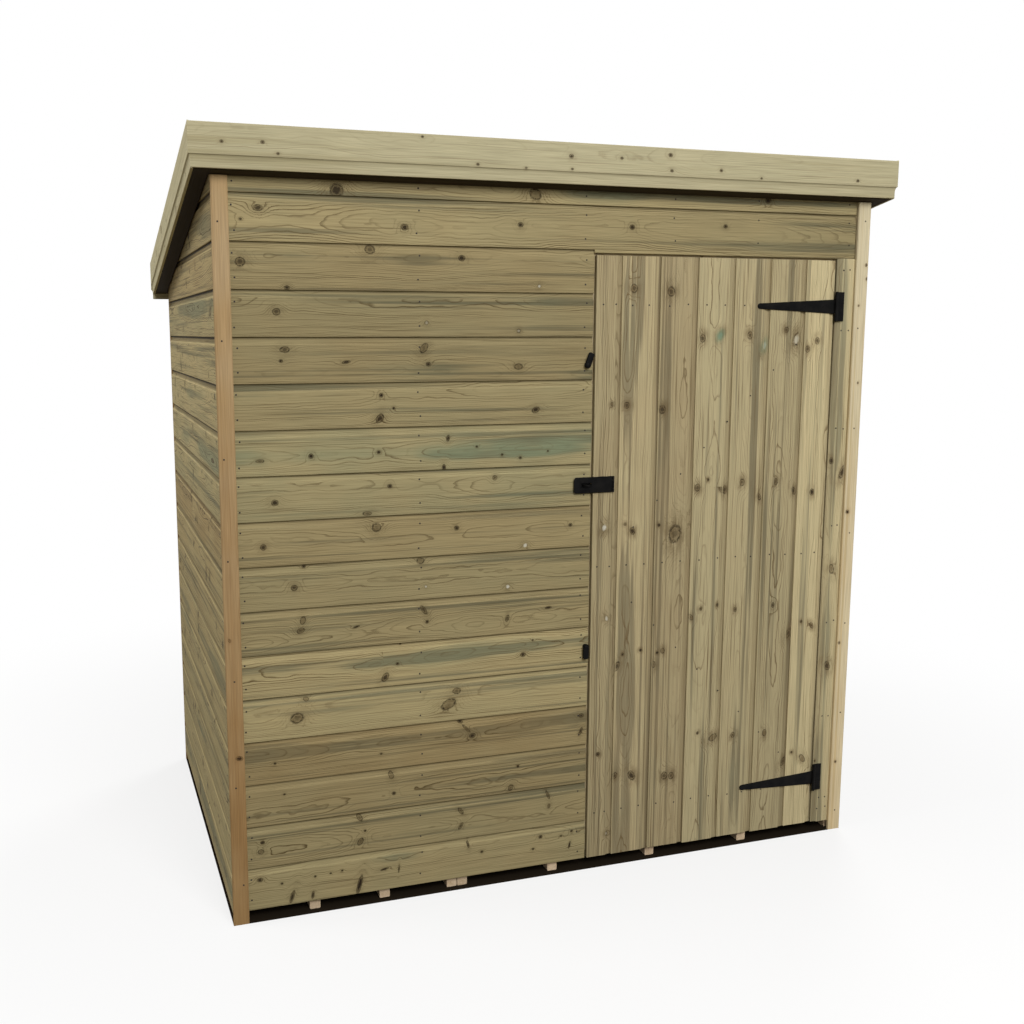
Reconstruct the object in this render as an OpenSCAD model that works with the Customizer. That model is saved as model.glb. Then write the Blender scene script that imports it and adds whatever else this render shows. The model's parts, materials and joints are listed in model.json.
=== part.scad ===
// Wooden pent garden shed: shiplap walls on a light frame, a ledged and braced door
// on two T-hinges, a single-slope felted roof and a boarded floor on bearers.
// Millimetres, +Z up. The origin is on the ground under the middle of the shed,
// the door is in the front (-Y) wall and the roof falls to the back (+Y).

/* [Walls] */
// Width over the cladding of the side walls
wall_w = 1830; // [1500:5:2400]
// Depth over the cladding of the front and back walls
wall_d = 1220; // [1000:5:1800]
// Height of the front wall, at its cladding
front_h = 1926; // [1850:1:2200]
// Height of the back wall, at its cladding
back_h = 1702; // [1500:1:1840]

/* [Cladding] */
// Thickness of a shiplap board
board_t = 12; // [10:0.5:18]
// Height that one board covers
board_cover = 112; // [90:1:140]
// Height of the hollow cove along a board's upper edge
cove_h = 18; // [12:1:26]
// Depth of that cove
cove_d = 5; // [3:0.5:7]
// Height of the lowest board's bottom edge above the ground
clad_z = 28; // [20:1:40]

/* [Framing] */
// Framing thickness through the wall
frame_t = 28; // [22:1:45]
// Framing width on its face
frame_w = 45; // [35:1:60]
// Number of bays between the studs of the back wall
back_bays = 3; // [2:1:5]

/* [Floor] */
// Width of a floor bearer
bearer_w = 28; // [22:1:45]
// Height of a floor bearer
bearer_h = 45; // [35:1:75]
// Thickness of the floor boards
floor_t = 12; // [9:1:22]
// Width of the left floor panel
left_floor_w = 594; // [400:1:900]
// Gap between the two floor panels
floor_gap = 2; // [1:0.5:5]
// Bearer spacing under the right floor panel
bearer_pitch = 305; // [250:5:400]
// Number of bearers under the left floor panel
left_bearers = 4; // [3:1:5]

/* [Roof] */
// Overhang of the roof past the cladding, all round
overhang = 52; // [40:1:70]
// Depth of the bars round the edge of the roof panel
roof_bar_h = 70; // [50:1:90]
// Room between those bars and the walls
roof_bar_gap = 2; // [1:0.5:4]
// Thickness of the roof boards
deck_t = 12; // [9:1:18]
// Thickness of the roof felt
felt_t = 2; // [1.5:0.5:4]
// Thickness of the fascia and barge boards
fascia_t = 12; // [10:0.5:18]
// Height of the fascia and barge boards
fascia_h = 101; // [90:1:130]
// Height of the set-back lip along their bottom edge
lip_h = 30; // [20:1:40]
// Depth that the lip is set back
lip_d = 5; // [3:0.5:7]
// Height of the cove above that lip
lip_cove_h = 15; // [10:1:20]
// Number of purlins under the roof boards
purlins_n = 2; // [1:1:4]

/* [Corner trims] */
// Width of a corner trim
trim_w = 40; // [30:1:60]
// Thickness of a corner trim
trim_t = 12; // [8:1:20]

/* [Door] */
// Width of the door
door_w = 740; // [650:1:800]
// Height of the door's top edge above the ground
door_top = 1694; // [1600:1:1720]
// Clearance beside the door's lock edge and over its top
door_gap = 6; // [5:0.5:9]
// Clearance beside the door's hinge edge
hinge_gap = 5; // [5:0.5:8]
// Distance the door's face stands proud of the cladding
door_proud = 3; // [2:0.5:5]
// Distance the studs and lintel reach behind the door's edges
stop_lap = 6; // [4:0.5:10]
// Width of the cover strip on the hinge post
strip_w = 56; // [40:1:70]
// Width of the first door board, next to the lock edge
first_board_w = 75; // [60:1:110]
// Number of boards after the first
door_boards_n = 6; // [5:1:8]
// Width of the last door board, ripped down beside the hinge edge
last_board_w = 95; // [60:1:115]
// Width of the ledges and braces
ledge_w = 70; // [50:1:100]
// Thickness of the ledges and braces
ledge_t = 20; // [15:1:25]
// Distance the ledges stop short of the door's edges
ledge_inset = 16; // [12:1:30]
// Heights of the three ledges' middles
ledge_zs = [160, 864, 1567];

/* [T-hinges] */
// Length of a strap, from the pin to its tip
strap_l = 254; // [200:1:350]
// Width of a strap at the pin
strap_root_w = 40; // [30:1:50]
// Width of a strap at its tip
strap_tip_w = 15; // [10:1:20]
// Thickness of the strap and the plate
strap_t = 3; // [2:0.5:4]
// Height of the plate on the post
plate_h = 81; // [60:1:100]
// Width of the plate, from the pin
plate_w = 27; // [20:1:35]
// Radius of the hinge barrel
barrel_r = 4.5; // [4:0.25:6]
// Radius of the hinge pin
pin_r = 2.5; // [2:0.25:3]
// Heights of the two hinges
hinge_zs = [172, 1567];

/* [Hasp and staple] */
// Height of the hasp
hasp_z = 1091; // [1000:1:1200]
// Length of the swinging flap, from its pin
flap_l = 115; // [100:1:130]
// Width of the flap
flap_w = 43; // [36:1:50]
// Thickness of the flap and of the leaf under it
flap_t = 2; // [1.5:0.25:3]
// Length of the leaf fixed to the door
leaf_l = 42; // [30:1:50]
// Length of each outer knuckle of the hasp
knuckle_l = 10.75; // [8:0.25:13]
// Radius of the flap's free corners
flap_corner_r = 7; // [4:0.5:10]
// Distance of the hasp's pin from the door's lock edge
hasp_pin_in = 57; // [50:1:65]
// Distance of the staple from the door's lock edge
staple_out = 22; // [18:1:26]
// Thickness of the staple's wire
staple_wire = 5; // [4:0.5:6]
// Distance between the middles of the staple's legs
staple_span = 16; // [12:1:20]
// Length of the straight part of the staple's legs
staple_leg = 13; // [12:0.5:18]
// Height of the staple's plate
staple_plate_h = 29; // [24:1:40]
// Distance that plate stops short of the doorway
staple_plate_in = 1; // [0.5:0.5:4]
// Radius of the hasp's barrel
hasp_barrel_r = 3.2; // [3:0.1:4]
// Radius of the hasp's pin
hasp_pin_r = 1.6; // [1.2:0.1:2]

/* [Turn buttons] */
// Reach of a turn button from its screw
button_arm = 34; // [30:1:45]
// Width of a turn button
button_w = 16; // [12:1:20]
// Thickness of a turn button
button_t = 5; // [4:0.5:8]
// Room between a turned button and the door's face
button_clear = 3.5; // [2:0.5:5]
// Radius of a button's screw
screw_r = 3; // [2:0.25:3.5]
// Radius of that screw's head
screw_head_r = 6; // [5:0.5:7.5]
// Step from a button's edge in to the boss behind it
boss_step = 1; // [0.5:0.5:3]
// Height of the upper button's screw
upper_button_z = 1410; // [1350:1:1500]
// Distance of the upper button's screw from the door's lock edge
upper_button_out = 24; // [22:0.5:30]
// Lean of the upper button from upright
upper_button_lean = 20; // [0:1:25]
// Height of the lower button's screw
lower_button_z = 645; // [600:1:700]
// Distance of the lower button's screw from the door's lock edge
lower_button_out = 16; // [14:0.5:20]

/* [Fits] */
// Radial clearance of a pin or screw in its bore
pin_fit = 0.05; // [0.02:0.01:0.1]
// Gap between pieces that turn past each other
turn_gap = 0.5; // [0.3:0.1:1]
// Room above and below the staple's wire in the flap's slot
slot_side = 3; // [1.5:0.5:5]
// Room past the staple at the slot's far end, which swings in as the flap opens
slot_far = 6; // [4:0.5:10]
// Room before the staple at the slot's near end
slot_near = 4; // [2:0.5:8]

/* [Hidden] */
$fn = 48;
cove_steps = 5;
panel_t = board_t + frame_t;
floor_top = bearer_h + floor_t;
slope = (front_h - back_h) / wall_d;
slope_deg = atan(slope);
roof_w = wall_w + 2 * overhang;
roof_d = wall_d + 2 * overhang;
roof_bar_w = overhang - fascia_t - roof_bar_gap;
rail_drop = frame_w / cos(slope_deg);
felt_rise = (deck_t + felt_t) / cos(slope_deg);
bar_drop = roof_bar_h / cos(slope_deg);
front_y = -wall_d / 2;
courses = ceil((roof_z(front_y) - clad_z) / board_cover);
front_run = wall_w - 2 * panel_t;
right_in_x = wall_w / 2 - panel_t;
door_right = right_in_x - strip_w - hinge_gap;
door_left = door_right - door_w;
opening_left = door_left - door_gap;
lintel_z = door_top + door_gap;
lintel_course_z = clad_z + ceil((lintel_z - clad_z) / board_cover) * board_cover;
door_face_y = front_y - door_proud;
door_back_y = door_face_y + board_t;
door_full_board = (door_w - first_board_w - last_board_w) / (door_boards_n - 1);
pin_x = door_right + hinge_gap / 2;
pin_y = door_face_y - barrel_r - turn_gap;
hasp_x = door_left + hasp_pin_in;
hasp_y = door_face_y - hasp_barrel_r - turn_gap;
flap_y = door_face_y - flap_t - turn_gap;
staple_x = door_left - staple_out;
button_back_y = door_face_y - button_clear;
trim_front_top = roof_z(front_y - trim_t) - bar_drop - roof_bar_gap;
trim_back_top = roof_z(wall_d / 2 + trim_t) - bar_drop - roof_bar_gap;
big = 2 * (wall_w + wall_d + front_h);

clad_c = [0.62, 0.55, 0.40];
trim_c = [0.68, 0.55, 0.42];
frame_c = [0.72, 0.64, 0.48];
felt_c = [0.16, 0.17, 0.16];
iron_c = [0.05, 0.05, 0.05];

// Height of the underside of the roof boards at a depth y
function roof_z(y) = front_h - slope * (y - front_y);

// Face of one shiplap board from v to v + cover: flat below, a quarter-round cove above
function board_face(v, cover) = concat(
  [[0, v]],
  [for (i = [0:cove_steps]) let (a = 90 * i / cove_steps)
    [cove_d * sin(a), v + cover - cove_h * cos(a)]]);

// Outline through a wall of boards that start at the heights in starts
function boards_outline(starts, top) = concat(
  [for (i = [0:len(starts) - 1])
    each board_face(starts[i], (i < len(starts) - 1 ? starts[i + 1] : top) - starts[i])],
  [[board_t, top], [board_t, starts[0]]]);

// Stands children, drawn as depth by height, along X with length run
module along_x(run) {
  translate([-run / 2, 0, 0]) rotate([90, 0, 90]) linear_extrude(run) children();
}

// Turns a wall drawn as the front wall to another side: 0 front, 90 right, 180 back, 270 left
module at_side(turn) { rotate([0, 0, turn]) children(); }

// All the space under the roof boards, lowered by drop
module under_roof(drop = 0) {
  along_x(big) polygon([
    [-wall_d, -clad_z], [wall_d, -clad_z],
    [wall_d, roof_z(wall_d) - drop], [-wall_d, roof_z(-wall_d) - drop]]);
}

// Frame on the slope: origin on the roof line over the front cladding, z square to the roof
module on_roof() { translate([0, front_y, front_h]) rotate([-slope_deg, 0, 0]) children(); }

// Plan of the roof, inset from its edge, as an upright prism
module roof_plan(inset) {
  translate([0, 0, front_h / 2]) cube([roof_w - 2 * inset, roof_d - 2 * inset, 2 * front_h], center = true);
}

// Shiplap cladding of a front-facing wall, run long, its outer face at depth face_y
module cladding(run, face_y) {
  starts = [for (k = [0:courses - 1]) clad_z + k * board_cover];
  intersection() {
    translate([0, face_y, 0]) along_x(run)
      polygon(boards_outline(starts, clad_z + courses * board_cover));
    children();
  }
}

// Box given by its low and high corners
module span(low, high) { translate(low) cube(high - low); }

// Studs of a front-facing frame, with left edges at xs, whose cladding face is at face_y
module studs(xs, face_y, foot_z) {
  for (x = xs) span([x, face_y + board_t, foot_z], [x + frame_w, face_y + panel_t, front_h]);
}

// Bottom rail of a front-facing frame
module bottom_rail(x0, x1, face_y) {
  span([x0, face_y + board_t, floor_top], [x1, face_y + panel_t, floor_top + frame_w]);
}

// Strip of a front-facing frame that top rails are cut from
module frame_slab(run, face_y) {
  span([-run / 2, face_y + board_t, floor_top], [run / 2, face_y + panel_t, 2 * front_h]);
}

// Keeps the band of its child that is one rail deep under the roof line
module top_rail() {
  difference() {
    intersection() {
      children();
      under_roof();
    }
    under_roof(rail_drop);
  }
}

module bearers_left() {
  x0 = -wall_w / 2 + board_t;
  step = (left_floor_w - bearer_w) / (left_bearers - 1);
  color(frame_c) for (i = [0:left_bearers - 1]) bearer(x0 + i * step);
}

module bearers_right() {
  x0 = -wall_w / 2 + board_t + left_floor_w + floor_gap;
  x1 = wall_w / 2 - board_t - bearer_w;
  color(frame_c) {
    bearer(x0);
    for (x = [x1:-bearer_pitch:x0 + 2 * bearer_w]) bearer(x);
  }
}

module bearer(x) {
  span([x, front_y + board_t, 0], [x + bearer_w, -front_y - board_t, bearer_h]);
}

module floor_left() {
  x0 = -wall_w / 2 + board_t;
  color(frame_c) floor_panel(x0, x0 + left_floor_w);
}

module floor_right() {
  x0 = -wall_w / 2 + board_t + left_floor_w + floor_gap;
  color(frame_c) floor_panel(x0, wall_w / 2 - board_t);
}

module floor_panel(x0, x1) {
  span([x0, front_y + board_t, bearer_h], [x1, -front_y - board_t, floor_top]);
}

module front_cladding() {
  color(clad_c) cladding(front_run, front_y)
    span([-front_run / 2, -wall_d, 0], [opening_left, wall_d, lintel_course_z]);
}

module lintel_cladding() {
  color(clad_c) intersection() {
    cladding(front_run, front_y) union() {
      span([-front_run / 2, -wall_d, lintel_course_z], [front_run / 2, wall_d, 2 * front_h]);
      span([opening_left, -wall_d, lintel_z], [front_run / 2, wall_d, 2 * front_h]);
    }
    under_roof();
  }
}

module left_cladding() { color(clad_c) side_cladding(270); }

module right_cladding() { color(clad_c) side_cladding(90); }

module side_cladding(turn) {
  intersection() {
    at_side(turn) cladding(wall_d, -wall_w / 2)
      span([-wall_d, -wall_w, 0], [wall_d, wall_w, 2 * front_h]);
    under_roof();
  }
}

module back_cladding() {
  color(clad_c) intersection() {
    at_side(180) cladding(front_run, front_y)
      span([-wall_w, -wall_d, 0], [wall_w, wall_d, 2 * front_h]);
    under_roof();
  }
}

module front_studs() {
  door_stud = door_left + stop_lap - frame_w;
  middle_stud = (door_stud - front_run / 2) / 2;
  color(frame_c) intersection() {
    union() {
      studs([-front_run / 2, middle_stud, door_stud], front_y, floor_top + frame_w);
      studs([right_in_x - frame_w], front_y, floor_top);
    }
    under_roof(rail_drop);
  }
}

module left_studs() { color(frame_c) side_studs(270); }

module right_studs() { color(frame_c) side_studs(90); }

module side_studs(turn) {
  intersection() {
    at_side(turn)
      studs([-wall_d / 2, -frame_w / 2, wall_d / 2 - frame_w], -wall_w / 2, floor_top + frame_w);
    under_roof(rail_drop);
  }
}

module back_studs() {
  step = (front_run - frame_w) / back_bays;
  color(frame_c) intersection() {
    at_side(180)
      studs([for (i = [0:back_bays]) -front_run / 2 + i * step], front_y, floor_top + frame_w);
    under_roof(rail_drop);
  }
}

module front_rails() {
  door_stud_right = door_left + stop_lap;
  color(frame_c) {
    bottom_rail(-front_run / 2, door_stud_right, front_y);
    top_rail() frame_slab(front_run, front_y);
    span([door_stud_right, front_y + board_t, door_top - stop_lap],
         [right_in_x - frame_w, front_y + panel_t, door_top - stop_lap + frame_w]);
  }
}

module left_rails() { color(frame_c) side_rails(270); }

module right_rails() { color(frame_c) side_rails(90); }

module side_rails(turn) {
  at_side(turn) bottom_rail(-wall_d / 2, wall_d / 2, -wall_w / 2);
  top_rail() at_side(turn) frame_slab(wall_d, -wall_w / 2);
}

module back_rails() {
  color(frame_c) {
    at_side(180) bottom_rail(-front_run / 2, front_run / 2, front_y);
    top_rail() at_side(180) frame_slab(front_run, front_y);
  }
}

// Cover strip on the hinge post: a ripped board, flush with the door, its cove beside the door
module hinge_strip() {
  back_y = front_y + board_t;
  face = [for (p = board_face(0, strip_w)) [right_in_x - p[1], door_face_y + p[0]]];
  color(clad_c) translate([0, 0, clad_z]) linear_extrude(lintel_z - clad_z)
    polygon(concat([[right_in_x, back_y]], face, [[right_in_x - strip_w, back_y]]));
}

module corner_trim(x0, y0, top) {
  color(trim_c) span([x0, y0, 0], [x0 + trim_w, y0 + trim_t, top]);
}

module front_trim_left() { corner_trim(-wall_w / 2, front_y - trim_t, trim_front_top); }

module front_trim_right() { corner_trim(wall_w / 2 - trim_w, front_y - trim_t, trim_front_top); }

module back_trim_left() { corner_trim(-wall_w / 2, -front_y, trim_back_top); }

module back_trim_right() { corner_trim(wall_w / 2 - trim_w, -front_y, trim_back_top); }

// Layer of the roof between two heights square to its slope, cut to the plan
module roof_layer(z0, z1, inset) {
  intersection() {
    on_roof() span([-roof_w / 2, -roof_d, z0], [roof_w / 2, 2 * roof_d, z1]);
    roof_plan(inset);
  }
}

module roof_side_bars() {
  color(frame_c) difference() {
    roof_layer(-roof_bar_h, 0, fascia_t);
    translate([0, 0, front_h]) cube([wall_w + 2 * roof_bar_gap, 2 * roof_d, 2 * front_h], center = true);
  }
}

module roof_cross_bars() {
  run = wall_w + 2 * roof_bar_gap;
  color(frame_c) difference() {
    intersection() {
      roof_layer(-roof_bar_h, 0, fascia_t);
      translate([0, 0, front_h]) cube([run, 2 * roof_d, 2 * front_h], center = true);
    }
    translate([0, 0, front_h]) cube([2 * run, wall_d + 2 * roof_bar_gap, 2 * front_h], center = true);
  }
}

module roof_purlins() {
  span_in = wall_w - 2 * panel_t;
  step = wall_d / (purlins_n + 1);
  color(frame_c) on_roof() for (i = [1:purlins_n])
    span([-span_in / 2, i * step - frame_t / 2, -frame_w], [span_in / 2, i * step + frame_t / 2, 0]);
}

module roof_deck() { color(frame_c) roof_layer(0, deck_t, fascia_t); }

module roof_felt() { color(felt_c) roof_layer(deck_t, deck_t + felt_t, fascia_t); }

// Section of a fascia board with its flat on top and a coved lip along the bottom edge
module fascia_section() {
  polygon(concat(
    [[fascia_t, 0], [fascia_t, fascia_h], [0, fascia_h]],
    [for (i = [0:cove_steps]) let (a = 90 * i / cove_steps)
      [lip_d * sin(a), lip_h - lip_cove_h + lip_cove_h * cos(a)]],
    [[lip_d, 0]]));
}

// Cuts the ends of a front edge board to the mitres at the roof's corners
module between_mitres(half_run, half_depth) {
  intersection() {
    children();
    linear_extrude(2 * front_h) polygon([
      [-half_run, -half_depth], [half_run, -half_depth],
      [half_run - fascia_t, fascia_t - half_depth], [fascia_t - half_run, fascia_t - half_depth]]);
  }
}

module front_fascia() {
  z0 = roof_z(-roof_d / 2) - bar_drop;
  color(clad_c) between_mitres(roof_w / 2, roof_d / 2)
    translate([0, -roof_d / 2, z0]) along_x(roof_w) fascia_section();
}

module back_fascia() {
  z0 = roof_z(roof_d / 2) + felt_rise - fascia_h;
  color(clad_c) at_side(180) between_mitres(roof_w / 2, roof_d / 2)
    translate([0, -roof_d / 2, z0]) along_x(roof_w) fascia_section();
}

module left_barge() { color(clad_c) barge(); }

module right_barge() { color(clad_c) mirror([1, 0, 0]) barge(); }

// Barge board along the left edge of the roof, with plumb mitred ends
module barge() {
  intersection() {
    on_roof() translate([-roof_w / 2, 0, -roof_bar_h])
      rotate([90, 0, 0]) translate([0, 0, -2 * roof_d]) linear_extrude(4 * roof_d) fascia_section();
    linear_extrude(2 * front_h) polygon([
      [-roof_w / 2, -roof_d / 2], [fascia_t - roof_w / 2, fascia_t - roof_d / 2],
      [fascia_t - roof_w / 2, roof_d / 2 - fascia_t], [-roof_w / 2, roof_d / 2]]);
  }
}

module door_boards() {
  starts = concat([0], [for (i = [0:door_boards_n - 1]) first_board_w + i * door_full_board]);
  color(clad_c) translate([door_left, door_face_y, clad_z]) linear_extrude(door_top - clad_z)
    polygon([for (p = boards_outline(starts, door_w)) [p[1], p[0]]]);
}

module door_ledges() {
  color(frame_c) for (z = ledge_zs)
    span([door_left + ledge_inset, door_back_y, z - ledge_w / 2],
         [door_right - ledge_inset, door_back_y + ledge_t, z + ledge_w / 2]);
}

module door_braces() {
  for (i = [0:1]) {
    z_hinge = i == 0 ? ledge_zs[0] + ledge_w / 2 : ledge_zs[2] - ledge_w / 2;
    z_lock = i == 0 ? ledge_zs[1] - ledge_w / 2 : ledge_zs[1] + ledge_w / 2;
    x_hinge = door_right - ledge_inset;
    x_lock = door_left + ledge_inset;
    color(frame_c) translate([0, door_back_y + ledge_t, 0]) rotate([90, 0, 0]) linear_extrude(ledge_t)
      polygon([[x_lock, z_lock], [x_lock + ledge_w, z_lock],
               [x_hinge, z_hinge], [x_hinge - ledge_w, z_hinge]]);
  }
}

module upper_hinge_strap() { hinge_strap(hinge_zs[1]); }

module lower_hinge_strap() { hinge_strap(hinge_zs[0]); }

// Tapered strap on the door, with its barrel round the pin
module hinge_strap(z) {
  tip_r = strap_tip_w / 2;
  half_root = strap_root_w / 2;
  color(iron_c) difference() {
    union() {
      translate([pin_x, door_face_y, z]) rotate([90, 0, 0]) linear_extrude(strap_t) {
        polygon([[0, -half_root], [0, half_root], [tip_r - strap_l, tip_r], [tip_r - strap_l, -tip_r]]);
        translate([tip_r - strap_l, 0]) circle(tip_r);
      }
      translate([pin_x, pin_y, z - half_root]) cylinder(r = barrel_r, h = strap_root_w);
    }
    translate([pin_x, pin_y, z - strap_root_w]) cylinder(r = pin_r + pin_fit, h = 2 * strap_root_w);
  }
}

module upper_hinge_plate() { hinge_plate(hinge_zs[1]); }

module lower_hinge_plate() { hinge_plate(hinge_zs[0]); }

// Plate on the cover strip, with the outer barrels and the pin
module hinge_plate(z) {
  half_notch = strap_root_w / 2 + turn_gap;
  barrel_l = plate_h / 2 - half_notch;
  color(iron_c) {
    difference() {
      span([pin_x, door_face_y - strap_t, z - plate_h / 2],
           [pin_x + plate_w, door_face_y, z + plate_h / 2]);
      span([pin_x - plate_w, door_face_y - 2 * strap_t, z - half_notch],
           [pin_x + barrel_r + turn_gap, door_face_y + strap_t, z + half_notch]);
    }
    for (z0 = [z - plate_h / 2, z + half_notch])
      translate([pin_x, pin_y, z0]) cylinder(r = barrel_r, h = barrel_l);
    translate([pin_x, pin_y, z - plate_h / 2]) cylinder(r = pin_r, h = plate_h);
  }
}

// Fixed half of the hasp, screwed to the door under the flap
module hasp_leaf() {
  half_w = flap_w / 2;
  notch = half_w - knuckle_l + turn_gap;
  color(iron_c) {
    difference() {
      span([hasp_x - leaf_l, door_face_y - flap_t, hasp_z - half_w],
           [hasp_x, door_face_y, hasp_z + half_w]);
      span([hasp_x - hasp_barrel_r - turn_gap, door_face_y - 2 * flap_t, hasp_z - notch],
           [hasp_x + flap_l, door_face_y + flap_t, hasp_z + notch]);
    }
    for (z0 = [hasp_z - half_w, hasp_z + notch])
      translate([hasp_x, hasp_y, z0]) cylinder(r = hasp_barrel_r, h = half_w - notch);
    translate([hasp_x, hasp_y, hasp_z - half_w]) cylinder(r = hasp_pin_r, h = flap_w);
  }
}

// Swinging flap of the hasp, with a punched slot for the staple
module hasp_flap() {
  half_w = flap_w / 2;
  half_barrel = half_w - knuckle_l;
  step_x = -hasp_barrel_r - turn_gap;
  tip_x = flap_corner_r - flap_l;
  slot_half = staple_wire / 2 + slot_side;
  half_loop = (staple_span + staple_wire) / 2;
  slot_l = slot_far + 2 * half_loop + slot_near;
  color(iron_c) difference() {
    union() {
      translate([hasp_x, flap_y, hasp_z]) rotate([90, 0, 0]) linear_extrude(flap_t) difference() {
        union() {
          translate([step_x, -half_barrel]) square([-step_x, 2 * half_barrel]);
          translate([tip_x, -half_w]) square([step_x - tip_x, flap_w]);
          translate([-flap_l, flap_corner_r - half_w]) square([flap_corner_r, flap_w - 2 * flap_corner_r]);
          for (v = [-1, 1]) translate([tip_x, v * (half_w - flap_corner_r)]) circle(flap_corner_r);
        }
        translate([staple_x - half_loop - slot_far - hasp_x, -slot_half]) square([slot_l, 2 * slot_half]);
      }
      translate([hasp_x, hasp_y, hasp_z - half_barrel]) cylinder(r = hasp_barrel_r, h = 2 * half_barrel);
    }
    translate([hasp_x, hasp_y, hasp_z - flap_w]) cylinder(r = hasp_pin_r + pin_fit, h = 2 * flap_w);
  }
}

// Staple on the wall: a plate and a bent wire loop that passes through the flap's slot
module staple() {
  wire_r = staple_wire / 2;
  plate_half_w = staple_out - door_gap - staple_plate_in;
  color(iron_c) {
    span([staple_x - plate_half_w, front_y - flap_t, hasp_z - staple_plate_h / 2],
         [staple_x + plate_half_w, front_y, hasp_z + staple_plate_h / 2]);
    for (v = [-1, 1]) translate([staple_x + v * staple_span / 2, front_y, hasp_z])
      rotate([90, 0, 0]) cylinder(r = wire_r, h = staple_leg);
    translate([staple_x, front_y - staple_leg, hasp_z]) rotate([0, 0, 180])
      rotate_extrude(angle = 180) translate([staple_span / 2, 0]) circle(wire_r);
  }
}

// Turn button drawn pointing up from its screw
module turn_button(x, z, lean) {
  color(iron_c) translate([x, 0, z]) rotate([0, lean, 0]) difference() {
    union() {
      translate([0, button_back_y, 0]) rotate([90, 0, 0]) linear_extrude(button_t) {
        translate([-button_w / 2, 0]) square([button_w, button_arm]);
        circle(button_w / 2);
      }
      translate([0, front_y - turn_gap, 0]) rotate([90, 0, 0])
        cylinder(r = button_w / 2 - boss_step, h = front_y - turn_gap - button_back_y);
    }
    translate([0, front_y, 0]) rotate([90, 0, 0])
      cylinder(r = screw_r + pin_fit, h = 2 * (front_y - button_back_y + button_t));
  }
}

module upper_button() { turn_button(door_left - upper_button_out, upper_button_z, upper_button_lean); }

module lower_button() { turn_button(door_left - lower_button_out, lower_button_z, 180); }

// Round-headed screws that the two buttons turn on
module button_screws() {
  head_y = button_back_y - button_t - turn_gap;
  color(iron_c) for (at = [[upper_button_out, upper_button_z], [lower_button_out, lower_button_z]])
    translate([door_left - at[0], 0, at[1]]) {
      translate([0, front_y, 0]) rotate([90, 0, 0]) cylinder(r = screw_r, h = front_y - head_y);
      translate([0, head_y, 0]) rotate([90, 0, 0]) cylinder(r = screw_head_r, h = screw_r);
    }
}

bearers_left();
bearers_right();
floor_left();
floor_right();
front_cladding();
lintel_cladding();
left_cladding();
right_cladding();
back_cladding();
front_studs();
left_studs();
right_studs();
back_studs();
front_rails();
left_rails();
right_rails();
back_rails();
hinge_strip();
front_trim_left();
front_trim_right();
back_trim_left();
back_trim_right();
roof_side_bars();
roof_cross_bars();
roof_purlins();
roof_deck();
roof_felt();
front_fascia();
back_fascia();
left_barge();
right_barge();
door_boards();
door_ledges();
door_braces();
upper_hinge_strap();
lower_hinge_strap();
upper_hinge_plate();
lower_hinge_plate();
hasp_leaf();
hasp_flap();
staple();
upper_button();
lower_button();
button_screws();
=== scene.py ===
# %% [markdown]
# A wooden pent shed, dressed in Blender around its CAD frame. The frame gives every place and size,
# so the lesson is about boards: how planed, treated timber is profiled, laid, nailed and coloured.

# %% Load the frame
import json
import math
import random

import bmesh
import bpy
from mathutils import Matrix, Vector


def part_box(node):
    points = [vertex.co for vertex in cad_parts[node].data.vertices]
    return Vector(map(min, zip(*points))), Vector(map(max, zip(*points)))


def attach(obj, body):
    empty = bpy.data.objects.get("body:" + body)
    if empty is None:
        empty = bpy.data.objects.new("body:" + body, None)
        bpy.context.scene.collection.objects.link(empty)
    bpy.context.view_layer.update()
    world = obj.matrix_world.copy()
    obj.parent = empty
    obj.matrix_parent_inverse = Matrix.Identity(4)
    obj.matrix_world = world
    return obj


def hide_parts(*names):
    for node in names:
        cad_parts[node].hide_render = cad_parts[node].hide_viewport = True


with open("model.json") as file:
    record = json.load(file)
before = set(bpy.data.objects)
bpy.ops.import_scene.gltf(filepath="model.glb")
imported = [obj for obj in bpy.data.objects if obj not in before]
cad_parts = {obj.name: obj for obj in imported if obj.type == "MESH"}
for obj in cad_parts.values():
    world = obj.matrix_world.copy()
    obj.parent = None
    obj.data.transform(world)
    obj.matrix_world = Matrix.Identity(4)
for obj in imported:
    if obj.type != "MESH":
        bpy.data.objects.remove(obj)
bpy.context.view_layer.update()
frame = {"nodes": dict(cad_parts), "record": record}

body_of = {node: body for body, nodes in frame["record"]["behaviour"]["bodies"].items() for node in nodes}
pivot = {joint["name"]: Vector(joint["pos_m"]) for joint in frame["record"]["behaviour"]["joints"]}

# %% [markdown]
# The camera stands low and to the left of the shed's front. Its place, turn and lens were solved from
# straight edges in the photograph: corner trims, the roof's edge boards and the joints of the cladding.

# %% Camera
camera = bpy.data.objects.new("camera", bpy.data.cameras.new("camera"))
bpy.context.scene.collection.objects.link(camera)
bpy.context.scene.camera = camera
camera.location = (-1.2487, -3.4020, 1.4946)
camera.rotation_euler = (math.radians(90 - 8.787), 0, math.radians(-18.819))
camera.data.sensor_width = 36
camera.data.lens = 40.50
camera.data.shift_x = 0.0488
camera.data.shift_y = -0.0013
print("camera", tuple(camera.location), "lens", camera.data.lens)

# %% [markdown]
# Nodes are quicker to read when one short call adds a node and feeds its sockets. These helpers do only
# that: put adds a node, calc adds a Math node, spread maps a range softly, tint mixes two colours and mottle
# is a noise stretched along each axis by itself.

# %% Node helpers
def feed(tree, socket, value):
    if isinstance(value, bpy.types.NodeSocket):
        tree.links.new(value, socket)
    else:
        socket.default_value = value


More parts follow.
